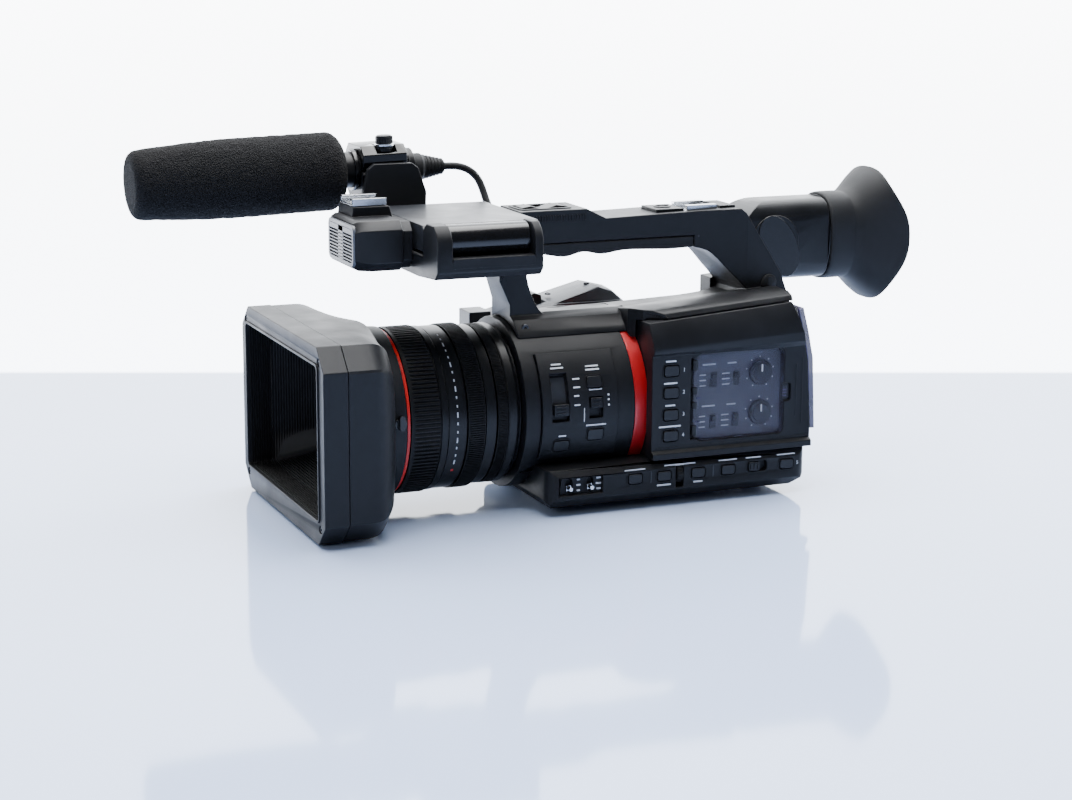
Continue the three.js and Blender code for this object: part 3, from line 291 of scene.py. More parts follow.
# ---- mesh helpers, in millimetres ----
PLACE = {
    "x": lambda along, u, v: (along, u, v),
    "y": lambda along, u, v: (u, along, v),
    "z": lambda along, u, v: (u, v, along),
}


def bridge(shape, rings, closed=True):
    """Joins rings of points with quads and, if closed, caps both ends."""
    made = [[shape.verts.new(point) for point in ring] for ring in rings]
    count = len(made[0])
    for low, high in zip(made, made[1:]):
        for i in range(count):
            j = (i + 1) % count
            shape.faces.new((low[i], low[j], high[j], high[i]))
    if closed:
        shape.faces.new(made[0])
        shape.faces.new(made[-1])


def add_prism(shape, axis, outline, start, end):
    bridge(shape, [[PLACE[axis](at, u, v) for u, v in outline] for at in (start, end)])


def add_box(shape, x0, x1, y0, y1, z0, z1):
    add_prism(shape, "z", [(x0, y0), (x1, y0), (x1, y1), (x0, y1)], z0, z1)


def circle(radius, count, u=0.0, v=0.0):
    step = 2 * math.pi / count
    return [(u + radius * math.cos(i * step), v + radius * math.sin(i * step)) for i in range(count)]


def add_rod(shape, axis, radius, start, end, u, v, count=24):
    add_prism(shape, axis, circle(radius, count, u, v), start, end)


def add_rod_ring(shape, axis, count, ring_radius, radius, start, end, u, v):
    """Thin rods side by side round a circle, as on a knurled edge."""
    for a, b in circle(ring_radius, count, u, v):
        add_rod(shape, axis, radius, start, end, a, b, 6)


def add_turned(shape, axis, profile, u, v, count=48):
    """Turns (radius, along) points about an axis through (u, v)."""
    bridge(shape, [
        [PLACE[axis](along, a, b) for a, b in circle(max(radius, 0.01), count, u, v)]
        for radius, along in profile
    ])


def add_tube(shape, axis, outer, inner, start, end, u, v, count=48):
    rings = [
        [PLACE[axis](at, a, b) for a, b in circle(radius, count, u, v)]
        for radius, at in ((outer, start), (outer, end), (inner, end), (inner, start), (outer, start))
    ]
    bridge(shape, rings, closed=False)


def rounded_rect(u, v, width, height, radius, steps=4):
    points = []
    for quarter, (su, sv) in enumerate(((1, 1), (-1, 1), (-1, -1), (1, -1))):
        cu = u + su * (width / 2 - radius)
        cv = v + sv * (height / 2 - radius)
        for i in range(steps + 1):
            angle = (quarter + i / steps) * math.pi / 2
            points.append((cu + radius * math.cos(angle), cv + radius * math.sin(angle)))
    return points


def add_frame(shape, axis, outline, hole, start, end):
    """A flat ring between two outlines with the same number of points."""
    bridge(shape, [
        [PLACE[axis](at, a, b) for a, b in points]
        for points, at in ((outline, start), (outline, end), (hole, end), (hole, start), (outline, start))
    ], closed=False)


def add_rim(shape, y, z, width, height, wall, radii, start, end):
    """A rounded rim that faces +X; radii are those of its outer and inner corners."""
    outer = rounded_rect(y, z, width, height, radii[0])
    inner = rounded_rect(y, z, width - wall, height - wall, radii[1])
    add_frame(shape, "x", outer, inner, start, end)


def onto_mesh(shape, name):
    bmesh.ops.remove_doubles(shape, verts=shape.verts, dist=1e-4)
    bmesh.ops.recalc_face_normals(shape, faces=shape.faces)
    bmesh.ops.scale(shape, vec=(MM, MM, MM), verts=shape.verts)
    mesh = bpy.data.meshes.new(name)
    shape.to_mesh(mesh)
    shape.free()
    return mesh


def smooth_by_angle(mesh, degrees):
    mesh.shade_smooth()
    mesh.set_sharp_from_angle(angle=math.radians(degrees))


def round_edges(piece, width_mm, segments=2, angle=32):
    bevel = piece.modifiers.new("edges", "BEVEL")
    bevel.width = width_mm * MM
    bevel.segments = segments
    bevel.limit_method = "ANGLE"
    bevel.angle_limit = math.radians(angle)
    bevel.harden_normals = True
    bevel.use_clamp_overlap = False


def bind(name, data, near):
    """An object made from data, riding with the CAD node it is near."""
    piece = bpy.data.objects.new(name, data)
    bpy.context.scene.collection.objects.link(piece)
    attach(piece, BODY_OF[near])
    return piece


def add_piece(name, shape, look, near, edge=0.0, sharp=38, segments=2):
    mesh = onto_mesh(shape, name)
    mesh.materials.append(look)
    smooth_by_angle(mesh, sharp)
    piece = bind(name, mesh, near)
    if edge:
        round_edges(piece, edge, segments, sharp)
    return piece


def add_boxes(name, look, near, boxes, **finish):
    """A piece made of plain boxes, each given as x0, x1, y0, y1, z0, z1."""
    shape = bmesh.new()
    for box in boxes:
        add_box(shape, *box)
    add_piece(name, shape, look, near, **finish)


# ---- CAD nodes with their edges softened ----
def refine(node, look, edge=0.5, segments=2, sharp=32):
    """A copy of a CAD node with clean faces and rounded edges, standing for it."""
    shape = bmesh.new()
    shape.from_mesh(frame["nodes"][node].data)
    bmesh.ops.remove_doubles(shape, verts=shape.verts, dist=2e-6)
    bmesh.ops.dissolve_limit(
        shape, angle_limit=math.radians(0.6), verts=shape.verts, edges=shape.edges)
    mesh = bpy.data.meshes.new(f"{node}_shell")
    shape.to_mesh(mesh)
    shape.free()
    mesh.materials.clear()
    mesh.materials.append(look)
    smooth_by_angle(mesh, sharp)
    piece = bind(f"{node}_shell", mesh, node)
    round_edges(piece, edge, segments, sharp)
    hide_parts(node)


# look and rounding of the edges in millimetres
SOFTENED = {
    "hood_bezel": (HOOD_PLASTIC, 0.6), "hood_lock_lever": (GLOSS, 0.3),
    "lens_barrel": (SATIN, 0.3), "red_ring": (RED_RING, 0.15),
    "barrel_housing": (CHARCOAL, 0.4), "accent_band": (RED_BAND, 0.3), "control_panel": (CHARCOAL, 0.4),
    "main_housing": (CHARCOAL, 0.6), "battery": (CHARCOAL, 0.8), "sensor_block": (BOARD, 0.3),
    "side_panel": (CHARCOAL, 0.35), "base_housing": (CHARCOAL, 0.45), "tripod_plate": (STEEL, 0.3),
    "handle_frame": (CHARCOAL, 0.6), "handle_pad": (SOFT_RUBBER, 0.9),
    "handle_zoom_rocker": (SATIN, 0.6), "front_shoe": (CHROME, 0.2), "front_mic_block": (CHARCOAL, 0.5),
    "lcd_tray": (CHARCOAL, 0.8), "lcd_panel": (LID, 0.5), "mic_bracket": (CHARCOAL, 0.6),
    "mic_clamp": (GLOSS, 0.5), "microphone": (SATIN, 0.4), "evf_tube": (SATIN, 0.4),
    "grip_body": (SPECKLED, 0.6), "grip_zoom_rocker": (SATIN, 0.8), "record_button": (RED_RING, 0.6),
    "audio_cover": (CLEAR, 0.2), "card_door": (DOOR_CLEAR, 0.3), "menu_dial": (RUBBER, 0.3),
    "auto_manual_switch": (BUTTON, 0.4), "nd_filter_slider": (BUTTON, 0.35),
    "focus_mode_switch": (BUTTON, 0.35), "gain_switch": (CHROME, 0.2),
    "white_balance_switch": (CHROME, 0.2), "audio_level_knob_1": (SATIN, 0.25),
    "audio_level_knob_2": (SATIN, 0.25),
}
BUTTONS = [node for node in frame["nodes"] if "_button" in node and node != "record_button"]


def soften_cad_nodes():
    for node, (look, edge) in SOFTENED.items():
        refine(node, look, edge)
    for node in BUTTONS:
        refine(node, BUTTON, 0.4, 3)


# ---- small repeated details ----
def add_screw(shape, axis, u, v, seat, radius, outward):
    """A pan-head screw with a round recess in its middle."""
    top = seat + outward * radius * 0.32
    edge = seat + outward * radius * 0.12
    floor = seat - outward * radius * 0.15
    add_turned(shape, axis, [
        (radius, seat - outward * 0.5), (radius, edge), (radius * 0.8, top), (radius * 0.42, top),
        (radius * 0.36, floor), (0.0, floor),
    ], u, v, 20)


def add_ribs(shape, radius, height, start, end, count, fill=0.55):
    """Ribs along the lens axis, all round a ring; each one is rounded in cross-section."""
    half = math.pi / count * fill
    for i in range(count):
        middle = 2 * math.pi * i / count
        outline = [(-half, -0.4), (-half, height * 0.55), (-half * 0.55, height), (half * 0.55, height),
                   (half, height * 0.55), (half, -0.4)]
        ring = [
            ((radius + rise) * math.cos(middle + turn), LENS_Z + (radius + rise) * math.sin(middle + turn))
            for turn, rise in outline
        ]
        add_prism(shape, "y", ring, start, end)


def add_mark(shape, axis, at, u, v, width, height=0.7, thick=0.12):
    add_prism(shape, axis, rounded_rect(u, v, width, height, min(width, height) * 0.3, 2), at, at + thick)


# ---- lens ----
RING_ROWS = {
    "focus_ring": {"from": -131.5, "to": -114.0, "core": 47.2, "height": 0.9, "count": 118, "lip": 2.2},
    "zoom_ring": {"from": -97.5, "to": -87.0, "core": 47.0, "height": 0.7, "count": 220, "lip": 0.5},
    "iris_ring": {"from": -79.0, "to": -73.0, "core": 45.8, "height": 0.55, "count": 300, "lip": 0.4},
}


def build_lens_rings():
    for node, row in RING_ROWS.items():
        shape = bmesh.new()
        add_tube(shape, "y", row["core"], 41.4, row["from"], row["to"], 0, LENS_Z, 120)
        add_tube(shape, "y", row["core"] + row["height"] * 0.8, row["core"] - 0.5,
                 row["from"], row["from"] + row["lip"], 0, LENS_Z, 120)
        add_ribs(shape, row["core"], row["height"], row["from"] + row["lip"] * 0.8, row["to"] - 0.3,
                 row["count"])
        ring = add_piece(f"{node}_ribbed", shape, RUBBER, node, sharp=45)
        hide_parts(node)


def build_front_lens():
    shape = bmesh.new()
    slopes = [i * math.pi / 2 / 14 for i in range(15)]
    dome = [(38.0 * math.sin(slope), -131.0 - 6.2 * math.cos(slope)) for slope in slopes]
    add_turned(shape, "y", [*dome, (37.6, -128.0), (0.0, -128.0)], 0, LENS_Z, 72)
    glass = add_piece("front_element", shape, GLASS, "front_lens", sharp=50)
    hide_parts("front_lens")
    shape = bmesh.new()
    for step in range(6):
        radius = 43.4 - step * 0.9
        add_tube(shape, "y", radius, radius - 0.45, -139.6 + step * 0.5, -137.5 + step * 0.9, 0, LENS_Z, 72)
    add_piece("filter_thread", shape, SATIN, "lens_barrel")


def build_lens_bands():
    """Raised smooth bands, grooves and the scale marks between the ribbed rings."""
    shape = bmesh.new()
    for start, end, radius in ((-113.2, -109.5, 47.4), (-108.9, -98.6, 47.0), (-86.2, -80.2, 46.3),
                               (-72.2, -67.9, 46.5), (-67.2, -64.6, 44.9)):
        add_tube(shape, "y", radius, 43.5, start, end, 0, LENS_Z, 120)
    add_piece("barrel_bands", shape, SATIN, "lens_barrel", edge=0.25)
    shape = bmesh.new()
    for i, degrees in enumerate(range(-30, 75, 6)):
        angle = math.radians(degrees)
        half = math.radians(0.9 if i % 3 else 1.9)
        arc = [(47.0, angle - half), (47.12, angle - half), (47.12, angle + half), (47.0, angle + half)]
        outline = [(r * math.cos(a), LENS_Z + r * math.sin(a)) for r, a in arc]
        add_prism(shape, "y", outline, -104.2, -103.5)
    add_piece("barrel_scale", shape, PALE, "lens_barrel")
    shape = bmesh.new()
    angle = math.radians(-38)
    add_box(shape, -0.9, 0.9, -104.6, -103.1, -0.06, 0.1)
    turn = Matrix.Rotation(-(angle - math.pi / 2), 4, "Y")
    bmesh.ops.transform(shape, verts=shape.verts, matrix=Matrix.Translation(
        (47.05 * math.cos(angle), 0, LENS_Z + 47.05 * math.sin(angle))) @ turn)
    add_piece("barrel_index", shape, RED_INK, "lens_barrel")


# ---- hood ----
BEZEL_FRONT = -192.0
HOOD_SEAM = -178
HOOD_DEPTH = 27  # from the seam behind the frame to the throat
# half width, low edge, high edge and corner cut
HOOD_OUTSIDE = (78.1, 1.4, 110.1, 12.5)
HOOD_MOUTH = (68.5, 14.7, 100.3, 3)
HOOD_THROAT = (57.5, 25.0, 92.0, 12)
HOOD_NECK_R = 52.2
HOOD_ROUNDING = 18.4


def hood_opening(y):
    """Centre height, half width and half height of the hood's inside at y."""
    share = max(0.0, min(1.0, (y - HOOD_SEAM) / HOOD_DEPTH))
    half_width, low, high, _ = (a + share * (b - a) for a, b in zip(HOOD_MOUTH, HOOD_THROAT))
    return (low + high) / 2, half_width, (high - low) / 2


def build_hood_baffle():
    """Light-trap ribs that run round the inside of the hood, one behind the other."""
    shape = bmesh.new()
    y = BEZEL_FRONT + 1.6
    while y < -152.0:
        middle, half_width, half_height = hood_opening(y)
        corner = 3 + 9 * max(0.0, (y - HOOD_SEAM) / HOOD_DEPTH)
        outer = rounded_rect(0, middle, 2 * half_width + 0.6, 2 * half_height + 0.6, corner)
        inner = rounded_rect(0, middle, 2 * half_width - 1.7, 2 * half_height - 1.7, corner - 0.8)
        add_frame(shape, "y", outer, inner, y, y + 0.6)
        y += 1.45
    for step in range(7):
        inset = step * 1.6
        outer = rounded_rect(0, 58.2, 114 - 2 * inset, 66 - 0.6 * inset, 10)
        inner = rounded_rect(0, 58.2, 113 - 2 * inset - 1.4, 65 - 0.6 * inset - 1.0, 9.5)
        add_frame(shape, "y", outer, inner, -152.6 + 0.12 * step, -151.3)
    add_piece("hood_baffle", shape, MATTE_BLACK_AND_SHADE, "hood_shell")
    shape = bmesh.new()
    outer = rounded_rect(0, 57.5, 139.6, 88.1, 4.2)
    inner = rounded_rect(0, 57.5, 136.6, 85.1, 3.0)
    add_frame(shape, "y", outer, inner, BEZEL_FRONT - 0.9, BEZEL_FRONT + 1.5)
    add_piece("hood_lip", shape, HOOD_PLASTIC, "hood_bezel", edge=0.35)


def hood_reach(angle, half_width, low, high, chamfer):
    """Distance from the lens axis to a box with cut corners, in one direction."""
    c, s = abs(math.cos(angle)) + 1e-9, abs(math.sin(angle)) + 1e-9
    half_height = high - LENS_Z if math.sin(angle) > 0 else LENS_Z - low
    return min(half_width / c, half_height / s, (half_width + half_height - chamfer) / (c + s))


def build_hood_shell():
    """The hood behind its frame: a box with cut corners that rounds over into a short neck."""
    count = 360
    angles = [2 * math.pi * i / count for i in range(count)]
    stations = [(-177.6, 0.0), (-168.0, 0.0), (-163.0, 0.0)]
    for i in range(1, 13):
        share = math.sin(math.pi / 2 * i / 12)
        stations.append((-163.0 + HOOD_ROUNDING * share, share))
    walls = []
    for y, share in stations:
        kept = math.sqrt(max(0.0, 1 - share * share))
        walls.append((y, [
            HOOD_NECK_R + (hood_reach(angle, *HOOD_OUTSIDE) - HOOD_NECK_R) * kept for angle in angles
        ]))
    for y, radius in ((-143.4, 51.6), (-143.0, 49.3), (-134.4, 48.6), (-134.4, 44.6), (-150.9, 44.6)):
        walls.append((y, [radius] * count))
    for y, opening in ((-151.2, HOOD_THROAT), (-177.6, HOOD_MOUTH)):
        walls.append((y, [hood_reach(angle, *opening) for angle in angles]))
    rings = [
        [(reach * math.cos(a), y, LENS_Z + reach * math.sin(a)) for a, reach in zip(angles, reaches)]
        for y, reaches in walls
    ]
    rings.append(rings[0])
    shape = bmesh.new()
    bridge(shape, rings, closed=False)
    bmesh.ops.remove_doubles(shape, verts=shape.verts, dist=1e-4)
    piece = add_piece("hood_outer", shape, HOOD_PLASTIC, "hood_shell", sharp=18)
    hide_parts("hood_shell")


def build_hood_trim():
    shape = bmesh.new()
    for x in (-69.5, 69.5):
        for z in (10.5, 102.5):
            add_screw(shape, "y", x, z, BEZEL_FRONT + 1.2, 1.9, -1)
    add_piece("hood_screws", shape, SCREW, "hood_bezel")
    add_boxes("hood_lever_tab", GLOSS, "hood_shell", (
        (51.0, 54.2, -148.5, -144.4, 60.2, 63.6), (52.6, 55.4, -147.4, -145.2, 58.6, 62.2),
    ), edge=0.35)


# ---- lens housing controls ----
def add_on_housing(shape, build, degrees, y):
    """Builds a small shape that faces +X about the origin, then wraps it round to its angle."""
    small = bmesh.new()
    build(small)
    turn = Matrix.Rotation(-math.radians(degrees), 4, "Y")
    centre = Vector((0, y, LENS_Z))
    for vert in small.verts:
        vert.co = centre + turn @ vert.co
    mesh = bpy.data.meshes.new("small")
    small.to_mesh(mesh)
    small.free()
    shape.from_mesh(mesh)
    bpy.data.meshes.remove(mesh)


PANEL_R = 51.6
FILTER_Y, FOCUS_Y, IRIS_Y = -42.9, -21.0, -41.6


def angle_at(z):
    return math.degrees(math.asin((z - LENS_Z) / 50))


def mark_on_panel(shape, y, z, width, height=0.85):
    add_on_housing(shape, lambda small: add_mark(small, "x", PANEL_R, 0, 0, width, height), angle_at(z), y)


def build_panel_marks():
    shape = bmesh.new()
    bars = [  # y, z, width
        (FILTER_Y, 84.6, 6.0), (FILTER_Y, 82.8, 8.0), (-21.3, 82.6, 8.0), (-21.3, 80.8, 8.6),
        (FOCUS_Y, 70.4, 8.0), (FOCUS_Y, 50.6, 12.5), (IRIS_Y, 45.6, 4.6),
    ]
    for y, z, width in bars:
        mark_on_panel(shape, y, z, width)
    for z, width in ((76.6, 4.4), (72.2, 4.2), (67.6, 3.2), (62.6, 3.6)):
        mark_on_panel(shape, -32.6 - (4 - width) / 2, z, width)
    for z in (67.0, 64.4, 61.4):
        mark_on_panel(shape, -13.2, z, 1.1, 1.1)
    mark_on_panel(shape, -28.6, 56.8, 0.45, 8.0)
    add_piece("panel_marks", shape, PALE, "control_panel")


def add_panel_boxes(name, look, near, y, angles, box, edge=0.0):
    """The same box repeated round the lens axis, at these angles in degrees."""
    shape = bmesh.new()
    for degrees in angles:
        add_on_housing(shape, lambda small: add_box(small, *box), degrees, y)
    add_piece(name, shape, look, near, edge=edge)


def build_panel_frames():
    """Thin raised rims round the buttons and slots of the lens housing panel."""
    shape = bmesh.new()
    rims = ((-21.3, 74.4, 11.0, 8.4), (FOCUS_Y, 45.0, 11.6, 8.8), (IRIS_Y, 39.8, 11.6, 8.8))
    for y, z, width, height in rims:
        def rim(small, w=width, h=height):
            add_rim(small, 0, 0, w, h, 1.1, (2.4, 1.9), PANEL_R - 0.9, PANEL_R + 0.25)
        add_on_housing(shape, rim, angle_at(z), y)
    add_piece("panel_rims", shape, CHARCOAL, "control_panel", edge=0.12)
    add_panel_boxes("filter_scale_plate", LID, "control_panel", FILTER_Y, range(9, 27, 3),
                    (47.8, 48.6, -4.4, 4.4, -1.35, 1.35))
    add_panel_boxes("filter_slider_ribs", BUTTON, "nd_filter_slider", FILTER_Y, (2.0, 4.0, 6.0),
                    (52.8, 53.6, -3.2, 3.2, -0.35, 0.35), 0.12)
    add_panel_boxes("focus_switch_ribs", BUTTON, "focus_mode_switch", FOCUS_Y, (4.8, 7.0, 9.2),
                    (52.4, 53.1, -2.6, 2.6, -0.35, 0.35), 0.12)


# ---- side panel ----
SIDE_X = 58.0
DECK_X = 53.0
USER_ROWS = (79.7, 66.8, 53.8, 41.4)
KNOB_ROWS = (73.9, 49.9)
KNOB_Y = 83


def add_number(text, y, z, x, height, near):
    """A plain numeral that lies on a face turned to +X."""
    data = bpy.data.curves.new(f"number_{text}", "FONT")
    data.body = text
    data.size = height * MM
    data.extrude = 0.06 * MM
    data.align_x = "CENTER"
    data.align_y = "CENTER"
    data.materials.append(PALE)
    piece = bind(f"number_{near}_{text}", data, near)
    piece.matrix_world = Matrix.Translation((x * MM, y * MM, z * MM)) @ Matrix((
        (0, 0, 1, 0), (1, 0, 0, 0), (0, 1, 0, 0), (0, 0, 0, 1)))


def build_side_marks():
    shape = bmesh.new()
    for z, width in zip(USER_ROWS, (6.6, 8.6, 6.4, 14.0)):
        add_mark(shape, "x", SIDE_X, 22.6, z + 5.6, width, 0.95)
    add_piece("side_marks", shape, PALE, "side_panel")
    for number, z in enumerate(USER_ROWS, 1):
        add_number(str(number), 31.2, z, SIDE_X + 0.06, 3.0, "side_panel")
    shape = bmesh.new()
    for z in USER_ROWS:
        add_rim(shape, 23, z, 11.4, 8.4, 1.2, (2.4, 1.8), SIDE_X - 0.8, SIDE_X + 0.3)
    add_piece("side_rims", shape, CHARCOAL, "side_panel", edge=0.12)
    ridges = ((13.2, 114.0, 34.0, 34.7), (104.6, 105.3, 46.0, 78.0), (108.6, 109.3, 42.0, 82.0))
    add_boxes("side_ridges", CHARCOAL, "side_panel",
              [(SIDE_X - 0.3, SIDE_X + 0.25, *ridge) for ridge in ridges], edge=0.15)


def build_audio_deck():
    """What shows behind the clear cover: a plate, its marks, small switches and knob pointers."""
    shape = bmesh.new()
    add_prism(shape, "x", rounded_rect(68, 62.3, 57.0, 50.4, 3.6), DECK_X - 0.2, DECK_X + 0.35)
    add_piece("audio_deck", shape, DECK, "side_panel", edge=0.1)
    marks = bmesh.new()
    for z in (79.2, 54.6):
        for y, width in ((49.6, 8.6), (64.5, 6.0)):
            add_mark(marks, "x", DECK_X + 0.35, y, z + 1.4, width, 1.0)
        for row in range(3):
            level = z - 4.6 - row * 3.2
            add_mark(marks, "x", DECK_X + 0.35, 45.6, level, 4.2, 0.8)
            add_mark(marks, "x", DECK_X + 0.35, 60.6, level, 5.0, 0.8)
    for z in KNOB_ROWS:
        for step in range(9):
            angle = math.radians(-60 + 37.5 * step)
            add_mark(marks, "x", DECK_X + 0.35, KNOB_Y + 9.1 * math.cos(angle), z + 9.1 * math.sin(angle),
                     0.9, 0.9)
    add_piece("audio_marks", marks, FADED, "side_panel")
    toggles = bmesh.new()
    for z in (79.2, 54.6):
        for y in (52.6, 67.4):
            add_prism(toggles, "x", rounded_rect(y, z - 7.8, 4.2, 8.8, 0.8), DECK_X + 0.2, DECK_X + 0.6)
            add_prism(toggles, "x", rounded_rect(y, z - 6.2, 3.0, 3.4, 0.6), DECK_X + 0.5, DECK_X + 2.0)
    add_piece("audio_toggles", toggles, SATIN, "side_panel", edge=0.15)
    for number, z in enumerate(KNOB_ROWS, 1):
        pointer = bmesh.new()
        add_box(pointer, 56.2, 56.5, KNOB_Y - 0.45, KNOB_Y + 0.45, z + 0.6, z + 5.0)
        add_piece(f"knob_pointer_{number}", pointer, PALE, f"audio_level_knob_{number}")
        rim = bmesh.new()
        add_rod_ring(rim, "x", 28, 7.1, 0.42, DECK_X + 0.6, 55.5, KNOB_Y, z)
        add_piece(f"knob_rim_{number}", rim, SATIN, f"audio_level_knob_{number}")


def build_cover_hinges():
    shape = bmesh.new()
    for z0, z1 in ((40.2, 46.0), (56.0, 60.0), (64.6, 68.6), (78.8, 84.8)):
        add_rod(shape, "z", 1.65, z0, z1, 57.0, 38.4, 20)
    add_piece("cover_knuckles", shape, SATIN, "side_panel", edge=0.2)
    straps = [(57.9, 58.6, 39.2, 41.6, z, z + 1.0) for z in (62.0, 48.0)]
    ridges = [(58.8, 59.3, 95.0, 98.0, 59.4 + i * 1.8, 60.1 + i * 1.8) for i in range(3)]
    add_boxes("cover_catch", DOOR_CLEAR, "audio_cover", straps + ridges, edge=0.1)


def build_card_bay():
    """Two card slots in a plate behind the clear door; each slot is a thin dark box, painted shade standing
    for its opening.
    """
    add_boxes("card_bay", LID, "main_housing", [(28, 52, 112.6, 115.9, 44, 76)], edge=0.3)
    # painted shade: thin near-black boxes on the plate stand for the slot openings
    add_boxes("card_slot_shade", MATTE_BLACK_AND_SHADE, "main_housing", [(31, 49, 115.5, 116.0, z, z + 3.2) for z in (50, 64)])


# ---- base strip ----
STRIP_X = 60.0
STRIP_Z = 18.5


def build_strip_marks():
    shape = bmesh.new()
    for y, z, width in ((0, 23.6, 13.0), (29.0, 24.2, 20.0), (18.5, 13.2, 9.0), (40.5, 13.2, 6.0),
                        (60.1, 24.0, 12.0), (77.0, 24.0, 10.0), (98.7, 24.0, 12.0)):
        x = STRIP_X if 10 < z < 23 else STRIP_X - (z - 23) * 0.75
        add_mark(shape, "x", x - 0.05, y, z, width, 0.95, 0.2)
    for z, width in ((20.8, 2.0), (17.6, 2.6), (14.4, 2.0)):
        add_mark(shape, "x", 57.2, -34.4, z, width, 1.0, 0.2)
        add_mark(shape, "x", 57.2, -21.8, z, width + 0.8, 1.0, 0.2)
    add_piece("strip_marks", shape, PALE, "base_housing")
    add_number("5", 106.2, STRIP_Z, STRIP_X + 0.06, 3.0, "base_housing")
    shape = bmesh.new()
    for y in (0, 18.5, 40.5, 60.1, 98.7):
        add_rim(shape, y, STRIP_Z, 10.8, 7.8, 1.2, (2.3, 1.8), STRIP_X - 0.8, STRIP_X + 0.3)
    add_rim(shape, 79.3, 18.8, 14.6, 8.0, 1.4, (2.8, 2.1), STRIP_X - 0.8, STRIP_X + 0.3)
    add_piece("strip_rims", shape, CHARCOAL, "base_housing", edge=0.12)
    add_boxes("strip_dividers", LID, "base_housing",
              [(STRIP_X - 0.2, STRIP_X + 0.22, y - 0.3, y + 0.3, 15.2, 22.0) for y in (10.2, 50.3)])
    add_boxes("auto_switch_ribs", BUTTON, "auto_manual_switch",
              [(60.5, 61.3, y - 0.4, y + 0.4, 17.0, 20.6) for y in (75.0, 77.3, 79.6)], edge=0.15)


def build_menu_dial_ribs():
    shape = bmesh.new()
    add_rod_ring(shape, "y", 20, 5.1, 0.45, 27.2, 30.4, 55.8, 18.5)
    add_piece("menu_dial_ribs", shape, RUBBER, "menu_dial")


# ---- handle ----
def build_handle_details():
    shoe = bmesh.new()
    section = [(-11, 163.5), (11, 163.5), (11, 167.6), (7, 167.6), (7, 166.2), (9.4, 166.2), (9.4, 164.5),
               (-9.4, 164.5), (-9.4, 166.2), (-7, 166.2), (-7, 167.6), (-11, 167.6)]
    add_prism(shoe, "y", section, 54.8, 74.3)
    add_piece("handle_shoe", shoe, CHROME, "handle_frame", edge=0.2)

    add_boxes("handle_plates", CHARCOAL, "handle_frame",
              ((-10, 11, 34.5, 52.5, 163.0, 166.2), (-11, 12, 76.0, 86.0, 163.0, 166.8)), edge=0.4)
    shape = bmesh.new()
    profile = [(5.2, 166.0), (5.2, 166.7), (4.2, 166.9), (3.9, 166.3), (0.0, 166.3)]
    add_turned(shape, "z", profile, 0, 43.5, 32)
    add_piece("handle_button", shape, SATIN, "handle_frame")

    rows = [-46 + i * 1.7 for i in range(20)]
    add_boxes("handle_serration", CHARCOAL, "handle_frame",
              [(x, x + 0.9, y, y + 0.85, 163.2, 166.6) for y in rows for x in (15.6, -16.5)], edge=0.15)
    shape = bmesh.new()
    rim = rounded_rect(0, -35, 22.0, 33.0, 4.0)
    hole = rounded_rect(0, -35, 17.6, 29.6, 2.8)
    add_frame(shape, "z", rim, hole, 169.0, 170.1)
    add_piece("rocker_rim", shape, CHARCOAL, "handle_frame", edge=0.3)

    shape = bmesh.new()
    add_screw(shape, "x", -54.0, 104.0, 24.2, 2.3, 1)
    add_screw(shape, "z", 0, -14.0, 168.9, 1.4, 1)
    add_screw(shape, "x", 60.0, 150.0, 15.9, 0.6, 1)
    add_piece("handle_screws", shape, SCREW, "handle_frame")


def build_jack_cap():
    shape = bmesh.new()
    add_turned(shape, "x", [(5.0, 21.2), (5.0, 22.4), (4.3, 22.9), (0.0, 22.9)], 104.6, 120.6, 32)
    add_prism(shape, "x", rounded_rect(104.6, 120.6, 3.0, 7.6, 1.2), 22.7, 23.4)
    tail = [(106.6, 117.0), (108.6, 118.4), (113.0, 110.6), (111.4, 109.6)]
    add_prism(shape, "x", tail, 21.2, 22.4)
    add_piece("jack_cap", shape, SOFT_RUBBER, "handle_frame", edge=0.3)


# ---- front unit ----
def build_front_grille():
    """Slatted plate over the built-in microphones, in two columns."""
    shape = bmesh.new()
    outer = rounded_rect(11.0, 157.4, 44.0, 23.0, 4.0)
    inner = rounded_rect(11.0, 157.4, 39.6, 18.6, 2.4)
    add_frame(shape, "y", outer, inner, -159.6, -157.8)
    add_box(shape, 6.8, 15.2, -159.6, -158.2, 148.2, 166.6)
    add_box(shape, -8.8, 30.8, -159.6, -158.2, 163.6, 166.6)
    for row in range(8):
        z = 148.9 + row * 1.85
        add_box(shape, -8.8, 30.8, -159.6, -158.3, z, z + 0.8)
    add_piece("front_grille", shape, GRILLE, "front_mic_block", edge=0.15)
    # near-black plate behind the slats: partly the black inside of the microphone block, partly painted
    # shade behind the grille
    shape = bmesh.new()
    add_prism(shape, "y", rounded_rect(11.0, 157.4, 41.0, 20.0, 3.0), -158.9, -157.6)
    add_piece("grille_backing_shade", shape, MATTE_BLACK_AND_SHADE, "front_mic_block")


def build_display_details():
    shape = bmesh.new()
    add_rod(shape, "y", 8.75, -115.4, -68.6, 58.5, 162.3, 64)
    add_piece("hinge_barrel", shape, GLOSS, "lcd_panel", edge=0.3)
    add_boxes("hinge_strip", CHARCOAL, "lcd_tray", [(70.4, 72.15, -115.8, -68.2, 148.6, 154.0)], edge=0.2)
    shape = bmesh.new()
    add_prism(shape, "z", rounded_rect(1.5, -88.5, 82.0, 66.0, 3.0), 153.6, 154.2)
    add_piece("display_screen", shape, GLOSS, "lcd_panel", edge=0.1)


# ---- microphone, foam and cord ----
MIC_X, MIC_Z, MIC_PIVOT_Y = -63.0, 188.5, -111.0
KNOB_X = MIC_X + 10
MIC_TILT = math.radians(1.7)
FOAM_FRONT, FOAM_REAR = 20.4, 23.3
MIC_RIM = 11.2


